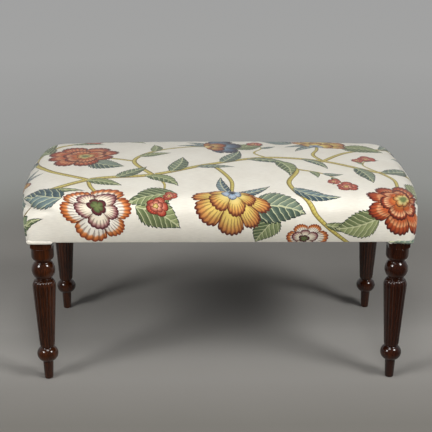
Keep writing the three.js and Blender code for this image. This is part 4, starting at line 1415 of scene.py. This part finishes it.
# Open sacking stretched flat over the webbing, with a faint rise and fall from the straps
def buildHessian(material):
    reachX, reachY = halfLong - sheets["hessianInset"], halfDeep - sheets["hessianInset"]
    x, y = np.meshgrid(np.linspace(-reachX, reachX, 90), np.linspace(-reachY, reachY, 46))
    swell = sheets["hessianSwell"] * np.sin(x / crossPitch * 2 * math.pi)
    rise = swell * np.sin(y / longPitch * 2 * math.pi)
    faces = gridFaces(*x.shape)
    points = pointList(x, y, sheets["hessianLevel"] + rise)
    piece = meshPiece("hessianSheet", points, faces, material)
    clothFlats(piece, x, y, faces)
    thicken(piece, sheets["hessianThickness"])
    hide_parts("hessian")


# The black dust cover: a sheet notched round the legs, that sags by a parabola each way, lies a little
# lower where its edge is turned in, and is pulled up at each staple
def buildDustCover(material):
    reachX, reachY = halfLong - sheets["dustInset"], halfDeep - sheets["dustInset"]
    notch = stool["block"] + 2 * stool["fitGap"]
    insideX, insideY = halfLong - notch, halfDeep - notch
    lines = []
    for reach, inside, count in ((reachX, insideX, 150), (reachY, insideY, 68)):
        besideLeg = np.linspace(inside, reach, 11)[1:]
        lines.append(np.concatenate([-besideLeg[::-1], np.linspace(-inside, inside, count), besideLeg]))
    x, y = np.meshgrid(*lines)
    middle = np.stack([x[:-1, :-1] + x[1:, 1:], y[:-1, :-1] + y[1:, 1:]], -1).reshape(-1, 2) / 2
    kept = (np.abs(middle[:, 0]) < insideX) | (np.abs(middle[:, 1]) < insideY)
    fromEdge = np.minimum(reachX - np.abs(x), reachY - np.abs(y))
    sag = sheets["dustSag"] * (1 - (x / reachX) ** 2) * (1 - (y / reachY) ** 2)
    foldDrop, foldEase, clear = 0.6, 1.5, 0.35  # clear is the room over the cloth's middle
    puckerRise, puckerReach = 0.3, 14
    fold = foldDrop * smoothStep((sheets["dustFold"] - fromEdge) / foldEase)
    along = np.where(reachX - np.abs(x) < reachY - np.abs(y), y, x)
    fromStaples = (fromEdge - sheets["stapleInset"]) / puckerReach
    pucker = puckerRise * np.cos(along / sheets["staplePitch"] * 2 * math.pi) * np.exp(-(fromStaples**2))
    z = sheets["dustLevel"] - sag - fold - clear + pucker
    faces = gridFaces(*x.shape)[kept][:, ::-1]
    used, faces = np.unique(faces, return_inverse=True)
    faces = faces.reshape(-1, 4)
    points = pointList(x, y, z)[used]
    piece = meshPiece("dustCoverSheet", points, faces, material)
    clothFlats(piece, points[:, 0], points[:, 1], faces)
    thicken(piece, sheets["dustThickness"])
    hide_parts("dust_cover")


# Wire staples round the dust cover's edge. Each is a six-sided wire carried along a square
# hoop, set beside the edge with a little scatter.
def buildStaples(material):
    reachX, reachY = halfLong - sheets["dustInset"], halfDeep - sheets["dustInset"]
    half, wire = sheets["stapleLength"] / 2, sheets["stapleWire"] / 2
    bend, point, below = 0.5, 2.5, 1.7  # the crown's bends, the legs' height, and the crown's depth
    scatter = {"lean": 0.06, "along": 1.2, "out": 0.5}
    right = [[half - bend, 0], [half, bend], [half, point]]
    hoop = np.array([[-x, z] for x, z in right[::-1]] + right)
    angle = np.arange(6) * math.pi / 3
    tube = leftOf(hoop)[..., None] * wire * np.cos(angle) + hoop[..., None]
    ring = pointList(tube[:, 0], wire * np.sin(angle), tube[:, 1])
    one = gridFaces(len(hoop), 6, closed=True)
    points, faces = [], []
    for side in range(4):
        reach, out = (reachX, reachY) if side % 2 == 0 else (reachY, reachX)
        free = reach - stool["block"] - sheets["stapleInset"]
        for place in np.linspace(-free, free, round(2 * free / sheets["staplePitch"]) + 1):
            turn = Matrix.Rotation(chance.normal(0, scatter["lean"]), 3, "Z")
            turned = ring @ np.array(turn)
            run = turned[:, 0] + place + chance.normal(0, scatter["along"])
            outward = out - sheets["stapleInset"] - turned[:, 1] + chance.normal(0, scatter["out"])
            faces.append(one + sum(len(part) for part in points))
            level = turned[:, 2] + sheets["dustLevel"] - below
            points.append(pointList(*turnSide(side, run, outward), level))
    meshPiece("dustCoverStaples", np.concatenate(points), np.concatenate(faces), material)


# A rolled hem round the two outer faces of each leg's block, where the cover is cut and turned
# under: a flat oval carried round a square corner, thicker and thinner by sines
hem = {
    "height": 8.5,
    "depth": 4.6,
    "centre": 4.7,  # from the block's face to the oval's middle
    "overhang": 3,
    "rise": 0.4,  # the oval's middle over the cover's lower edge
    "bend": 6,  # radius of the path's corner
    "sides": 14,  # of the oval
    "steps": 26,  # along each straight part
    "bendSteps": 9,
    "crumple": {"front_left": 0.2, "front_right": 0.9, "back_right": 0.5, "back_left": 0.5},
    "swell": 0.25,  # how much a crumpled hem thickens, and the length of its waves over 2 pi
    "swellRun": 6.5,
    "ripple": 0.08,
    "rippleRun": 2.9,
    "wander": 0.9,  # up and down
    "wanderRun": 8,
    "fold": 0.12,
    "foldRun": 5,
    "taper": 4,  # length of the rounded ends, and the smallest share of the size there
    "least": 0.05,
    "printed": ["front_right", "back_left"],
    "flatStart": (258, -290),  # where the printed hems lie on the flat cloth
}


def buildHems(plain, printed):
    half, sides = stool["block"] / 2, hem["sides"]
    out, radius, straight = half + hem["centre"], hem["bend"], half + hem["overhang"]
    along = np.linspace(-straight, out - radius, hem["steps"])
    start = np.stack([along, np.full_like(along, out)], -1)
    bend = arc((out - radius, out - radius), (radius, radius), 90, 0, hem["bendSteps"])[1:-1]
    path = np.vstack([start, bend, start[::-1][:, ::-1]])
    run, normal = runAlong(path), leftOf(path)
    angle = np.arange(sides) * 2 * math.pi / sides
    ends = np.clip(np.minimum(run, run[-1] - run) / hem["taper"], hem["least"], 1) ** 0.5
    first = np.arange(sides // 2 - 1)
    cap = np.stack([first, first + 1, sides - 2 - first, sides - 1 - first], -1)
    tube = gridFaces(len(path), sides, closed=True)
    tube = np.concatenate([tube, cap[:, ::-1], cap + (len(path) - 1) * sides])
    startU, startV = hem["flatStart"]
    for name, (sideX, sideY) in corners.items():
        crumple, phase = hem["crumple"][name], chance.uniform(0, 6)
        thick = 1 + crumple * hem["swell"] * np.sin(run / hem["swellRun"] + phase)
        thick = (thick + hem["ripple"] * np.sin(run / hem["rippleRun"])) * ends
        lift = hem["rise"] + crumple * hem["wander"] * np.sin(run / hem["wanderRun"] + phase * 2)
        fold = 1 + hem["fold"] * crumple * np.sin(3 * angle + run[:, None] / hem["foldRun"])
        radial = hem["depth"] / 2 * thick[:, None] * np.cos(angle) * fold
        x = stool["legLong"] / 2 + path[:, :1] + normal[:, :1] * radial
        y = stool["legDeep"] / 2 + path[:, 1:] + normal[:, 1:] * radial
        z = stool["coverLevel"] + lift[:, None] + hem["height"] / 2 * ends[:, None] * np.sin(angle)
        faces = tube[:, ::-1] if sideX * sideY > 0 else tube
        material = printed if name in hem["printed"] else plain
        points = pointList(sideX * x, sideY * y, z)
        piece = meshPiece("legHem_" + name, points, faces, material)
        u, v = startU + run[:, None], startV + angle * hem["height"] / 2
        if name in hem["printed"]:
            layPrint(piece.data, np.stack(np.broadcast_arrays(u, v), -1).reshape(-1, 2)[faces])
        else:
            clothFlats(piece, u, v, faces)


# At each corner the front or back cloth is carried round the corner and folded under, as a flap
# on the end's wall: the wall's own points raised along the normals. Its width grows by a
# smooth step from nothing on the roll to the full width at the lower edge.
pleat = {
    "width": 25,
    "least": 0.2,  # its width where it begins
    "lift": 1.5,
    "sunk": 0.4,  # how far its folded edge lies under the wall's surface
    "skin": 0.15,  # how far its beginning lies over it
    "start": 0.62,  # where it begins, from 0 at the top's rim to 2 at the lower edge
    "easeIn": 7,  # length over which it rises from the corner
    "columns": 16,
    "foldColumns": 5,
    "underRows": 3,
    "nearColumns": 10,  # the wall's columns whose spacing is taken
}


def buildPleats(surface, material):
    rows = len(surface["down"]) + pleat["underRows"]
    first = np.searchsorted(surface["down"], pleat["start"])
    level = np.arange(first, rows)[:, None]
    down = np.append(surface["down"], np.full(pleat["underRows"], surface["down"][-1]))[first:]
    share = smoothStep((down - pleat["start"]) / (down[-1] - pleat["start"]))
    width = pleat["width"] * share + pleat["least"]
    across = np.linspace(0, 1, pleat["columns"])
    turn = np.linspace(0, 1, pleat["foldColumns"] + 1)[1:] * math.pi / 2
    thick = pleat["lift"] * np.minimum(width / pleat["easeIn"], 1)[:, None]
    flap = width[:, None] * across
    rise = smoothStep(flap / pleat["easeIn"])
    fold = width[:, None] + thick * np.sin(turn)
    distance = np.hstack([flap, fold])
    top = thick + pleat["sunk"]
    height = np.hstack([thick * rise + pleat["skin"] * (1 - rise), top * np.cos(turn) - pleat["sunk"]])
    for name, (sideX, sideY) in corners.items():
        turned = sideX * sideY
        wall = surface["walls"][2 - sideX]
        longFlats = surface["flats"][1 + sideY]
        wall = wall if turned < 0 else wall[:, ::-1]
        edgeFlats = longFlats[:, -1] if turned < 0 else longFlats[:, 0]
        normal = np.cross(np.gradient(wall, axis=1), np.gradient(wall, axis=0))
        normal *= np.sign(normal[..., :1] * sideX) / np.linalg.norm(normal, axis=-1, keepdims=True)
        beside = wall[first:rows, : pleat["nearColumns"]]
        spacing = np.linalg.norm(np.diff(beside, axis=1), axis=-1).mean(1)[:, None]
        row, column = np.broadcast_arrays(level.astype(float), distance / spacing)
        points = sampleGrid(wall, row, column) + sampleGrid(normal, row, column) * height[..., None]
        faces = gridFaces(*distance.shape)
        if turned < 0:
            faces = faces[:, ::-1]
        piece = meshPiece("cornerPleat_" + name, points.reshape(-1, 3), faces, material)
        flat = edgeFlats[first:rows, None] + np.stack([sideX * distance, 0 * distance], -1)
        layPrint(piece.data, flat.reshape(-1, 2)[faces])


# The studio: a wide grey floor, seen only from above, two softboxes, an overhead lamp and two
# wide front lamps that give no mirror images of themselves. Lengths are in metres.
studio = {
    "reach": 14,
    "floorLightPool": [  # a painted pool of light: the floor's colour by distance behind the stool's middle, lightest near the middle
        (-0.40, "#817e78"), (-0.24, "#908d88"), (-0.10, "#a19e99"), (0.05, "#aeaba6"),
        (0.23, "#a19e99"), (0.44, "#9d9a95"), (0.8, "#95928d"),
    ],
    "greys": [  # painted light: the glowing grey seen far from the stool, by distance from its middle, darker nearer it
        (0.7, "#7a7874"), (1.25, "#8d8e8a"), (2.1, "#9a9a99"), (3.4, "#a2a2a1"), (7.0, "#a1a1a1"),
    ],
    "fade": (0.7, 1.5),  # where those greys take over from the lit floor
    "mirrorFade": (0.3, 0.6),  # the same in mirror images
    "lamps": [
        {"from": (-0.66, -0.50, 0.56), "distance": 3.4, "width": 0.9, "watts": 41, "mirrored": True},
        {"from": (0.59, -0.42, 0.69), "distance": 3.4, "width": 0.9, "watts": 51, "mirrored": True},
        {"from": (-0.10, -0.30, 0.95), "distance": 2.8, "width": 1.0, "watts": 20, "mirrored": True},
        {"from": (0.0, -0.8, 0.6), "distance": 3.6, "width": 1.2, "watts": 13, "mirrored": False},
        {"from": (0.05, -1.0, 0.1), "distance": 4.0, "width": 1.2, "watts": 60, "mirrored": False},
    ],
    "mottle": (0.96, 1.04),  # how much darker and lighter the paint is from patch to patch
    "patch": 1 / 3,
    "frontMirrorDimming": 0.25,  # painted reflection: how bright the floor and sky are in mirror images at the front, as a dark room behind the camera would be
    "floorGloom": (-0.6, 0),  # in mirror images the floor is painted dark before the first place and plain behind the other
    "skyGloom": (-0.5, 0.3),  # the same by a direction's share to the back
    "aim": (0, 0, 0.3),  # what the lamps point at
    "sky": "#f2f3f5",
    "ambient": 0.05,
}


# Colours by a length, as a ramp between the first stop's length and the last one's
def colourBy(add, length, stops):
    near, far = stops[0][0], stops[-1][0]
    share = add("MapRange", length, near, far)
    ramp = [((at - near) / (far - near), code) for at, code in stops]
    return add("ValToRGB", share, stops=ramp)


# 1 for what the camera, a mirror or a glass sees, and 0 for the light that falls on things
def seenRays(add):
    path = add("LightPath", out=None)
    kinds = [path.outputs[name] for name in ("Is Camera Ray", "Is Glossy Ray", "Is Transmission Ray")]
    seen = add("MAXIMUM", *kinds[:2])
    return add("MAXIMUM", seen, kinds[2])


# The strength of what is seen: 1, or in mirror images less and less towards the front, a painted darker
# reflection that stands in for a dark room there. The coordinate runs from the front to the back.
def frontGloom(add, coordinate, ends):
    dark = studio["frontMirrorDimming"]
    bright = add("MapRange", coordinate, *ends, dark, 1, interpolation_type="SMOOTHSTEP")
    mirror = add("LightPath", out="Is Glossy Ray")
    return add("Mix", {"Factor": mirror, "A": 1.0, "B": bright}, out="Result")


# A matt painted floor, whose colour carries a painted pool of light round the stool. Far from the stool,
# where the lamps don't reach, the camera and mirror images see a glowing grey at a plain level instead,
# painted light. From below it is open.
def studioFloor():
    material, add, shader = newMaterial("paintedStudioFloor", Roughness=0.9, Specular_IOR_Level=0.0)
    place = add("TexCoord", out="Object")
    behind = add("SeparateXYZ", place, out="Y")
    mottle = add("TexNoise", {"Vector": place, "Scale": 1 / studio["patch"], "Detail": 4})
    uneven = add("MapRange", mottle, 0, 1, *studio["mottle"])
    # painted light: the floor's colour by distance, as a pool round the stool
    lightPoolColour = colourBy(add, behind, studio["floorLightPool"])
    tinted = add("VectorMath", {0: lightPoolColour, "Scale": uneven}, operation="SCALE")
    finishShader(shader, tinted)
    away = add("VectorMath", place, operation="LENGTH", out="Value")
    gloom = frontGloom(add, behind, studio["floorGloom"])
    plain = add("Emission", {"Color": colourBy(add, away, studio["greys"]), "Strength": gloom})
    faded = add("MapRange", away, *studio["fade"], 0, 1, interpolation_type="SMOOTHSTEP")
    faded = add("MULTIPLY", faded, seenRays(add))
    mirror = add("LightPath", out="Is Glossy Ray")
    mirrored = add("MapRange", away, *studio["mirrorFade"], 0, mirror)
    faded = add("MAXIMUM", faded, mirrored)
    lit = add("MixShader", faded, shader.outputs[0], plain)
    below = add("NewGeometry", out="Backfacing")
    mixed = add("MixShader", below, lit, add("BsdfTransparent"))
    tree = material.node_tree
    tree.links.new(mixed, tree.nodes["Material Output"].inputs["Surface"])
    return material


def buildStudio():
    squares = 30
    line = np.linspace(-studio["reach"], studio["reach"], squares) / mm
    floor = addMesh("floor", pointList(*np.meshgrid(line, line), 0), gridFaces(squares, squares))
    floor.data.materials.append(studioFloor())
    for number, values in enumerate(studio["lamps"]):
        light = bpy.data.lights.new(f"softbox{number + 1}", "AREA")
        light.shape = "SQUARE"
        light.size = values["width"]
        light.energy = values["watts"]
        towards = Vector(values["from"])
        lamp = addObject(light.name, light)
        lamp.location = Vector(studio["aim"]) + towards.normalized() * values["distance"]
        lamp.rotation_euler = towards.to_track_quat("Z", "Y").to_euler()
        lamp.visible_glossy = values["mirrored"]
    bpy.context.scene.world = studioWorld()


# The sky gives a faint even light, and is seen as the studio's far grey, painted darker in mirror images
# towards the front
def studioWorld():
    world = bpy.data.worlds.new("studioWorld")
    world.use_nodes = True
    tree = world.node_tree
    add = partial(addNode, tree)
    light = add("Background", {"Color": studio["sky"], "Strength": studio["ambient"]})
    towards = add("TexCoord", out="Generated")
    behind = add("SeparateXYZ", towards, out="Y")
    gloom = frontGloom(add, behind, studio["skyGloom"])
    backdrop = add("Background", {"Color": studio["greys"][-1][1], "Strength": gloom})
    mixed = add("MixShader", seenRays(add), light, backdrop)
    tree.links.new(mixed, tree.nodes["World Output"].inputs["Surface"])
    return world


# The photograph's view: place, and directions from the pitch, yaw and roll in degrees
view = {"place": (-0.0577, -2.3746, 1.1880), "pitch": 20.06, "yaw": 1.24, "roll": 0.33, "lens": 89.8}


def buildCamera():
    pitch, yaw, roll = (math.radians(view[name]) for name in ("pitch", "yaw", "roll"))
    ahead = Vector((math.sin(yaw) * math.cos(pitch), math.cos(yaw) * math.cos(pitch), -math.sin(pitch)))
    level = ahead.cross(Vector((0, 0, 1))).normalized()
    upright = level.cross(ahead)
    right = math.cos(roll) * level + math.sin(roll) * upright
    above = -math.sin(roll) * level + math.cos(roll) * upright
    camera = addObject("photoView", bpy.data.cameras.new("photoView"))
    camera.data.lens = view["lens"]
    camera.data.sensor_width = 36
    turn = Matrix((right, above, -ahead)).transposed().to_4x4()
    camera.matrix_world = Matrix.Translation(view["place"]) @ turn
    bpy.context.scene.camera = camera


def dressFrame():  # finishes for the CAD nodes that stay as they are
    beech = {axis: planedBeech(axis) for axis in "XY"}
    zinc = platedSteel("yellowZincSteel", "#cdb878", "#9f8a4c")
    for name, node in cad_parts.items():
        if name.startswith("screw"):
            finish = zinc
        elif name.startswith("dowel"):
            low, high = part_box(name)
            finish = beech["X"] if high.x - low.x > high.y - low.y else beech["Y"]
        elif name.endswith("_rail") or name.startswith("corner_block"):
            finish = beech["Y" if name in ("left_rail", "right_rail") else "X"]
        else:
            continue
        node.data.materials.clear()
        node.data.materials.append(finish)


scene = bpy.context.scene
scene.view_settings.view_transform = "Standard"
buildCamera()
buildStudio()
dressFrame()
print("studio and frame done")
buildLegs(polishedMahogany())
print("legs done")
shift = simulateCover()
linen = printedLinen()
coverSurface = buildCover(linen, shift)
buildPleats(coverSurface, linen)
buildHems(wovenCloth("plainLinen"), linen)
print("cover done")
buildWadding(polyesterWadding(), shift)
buildFoam(cutFoam(), shift)
print("filling done")
buildWebs(wovenCloth("juteWebbing"))
buildHessian(wovenCloth("juteHessian"))
buildDustCover(wovenCloth("blackCambric"))
buildStaples(platedSteel("galvanisedWire", "#c4c6c8", "#8f9396"))
print("underside done")
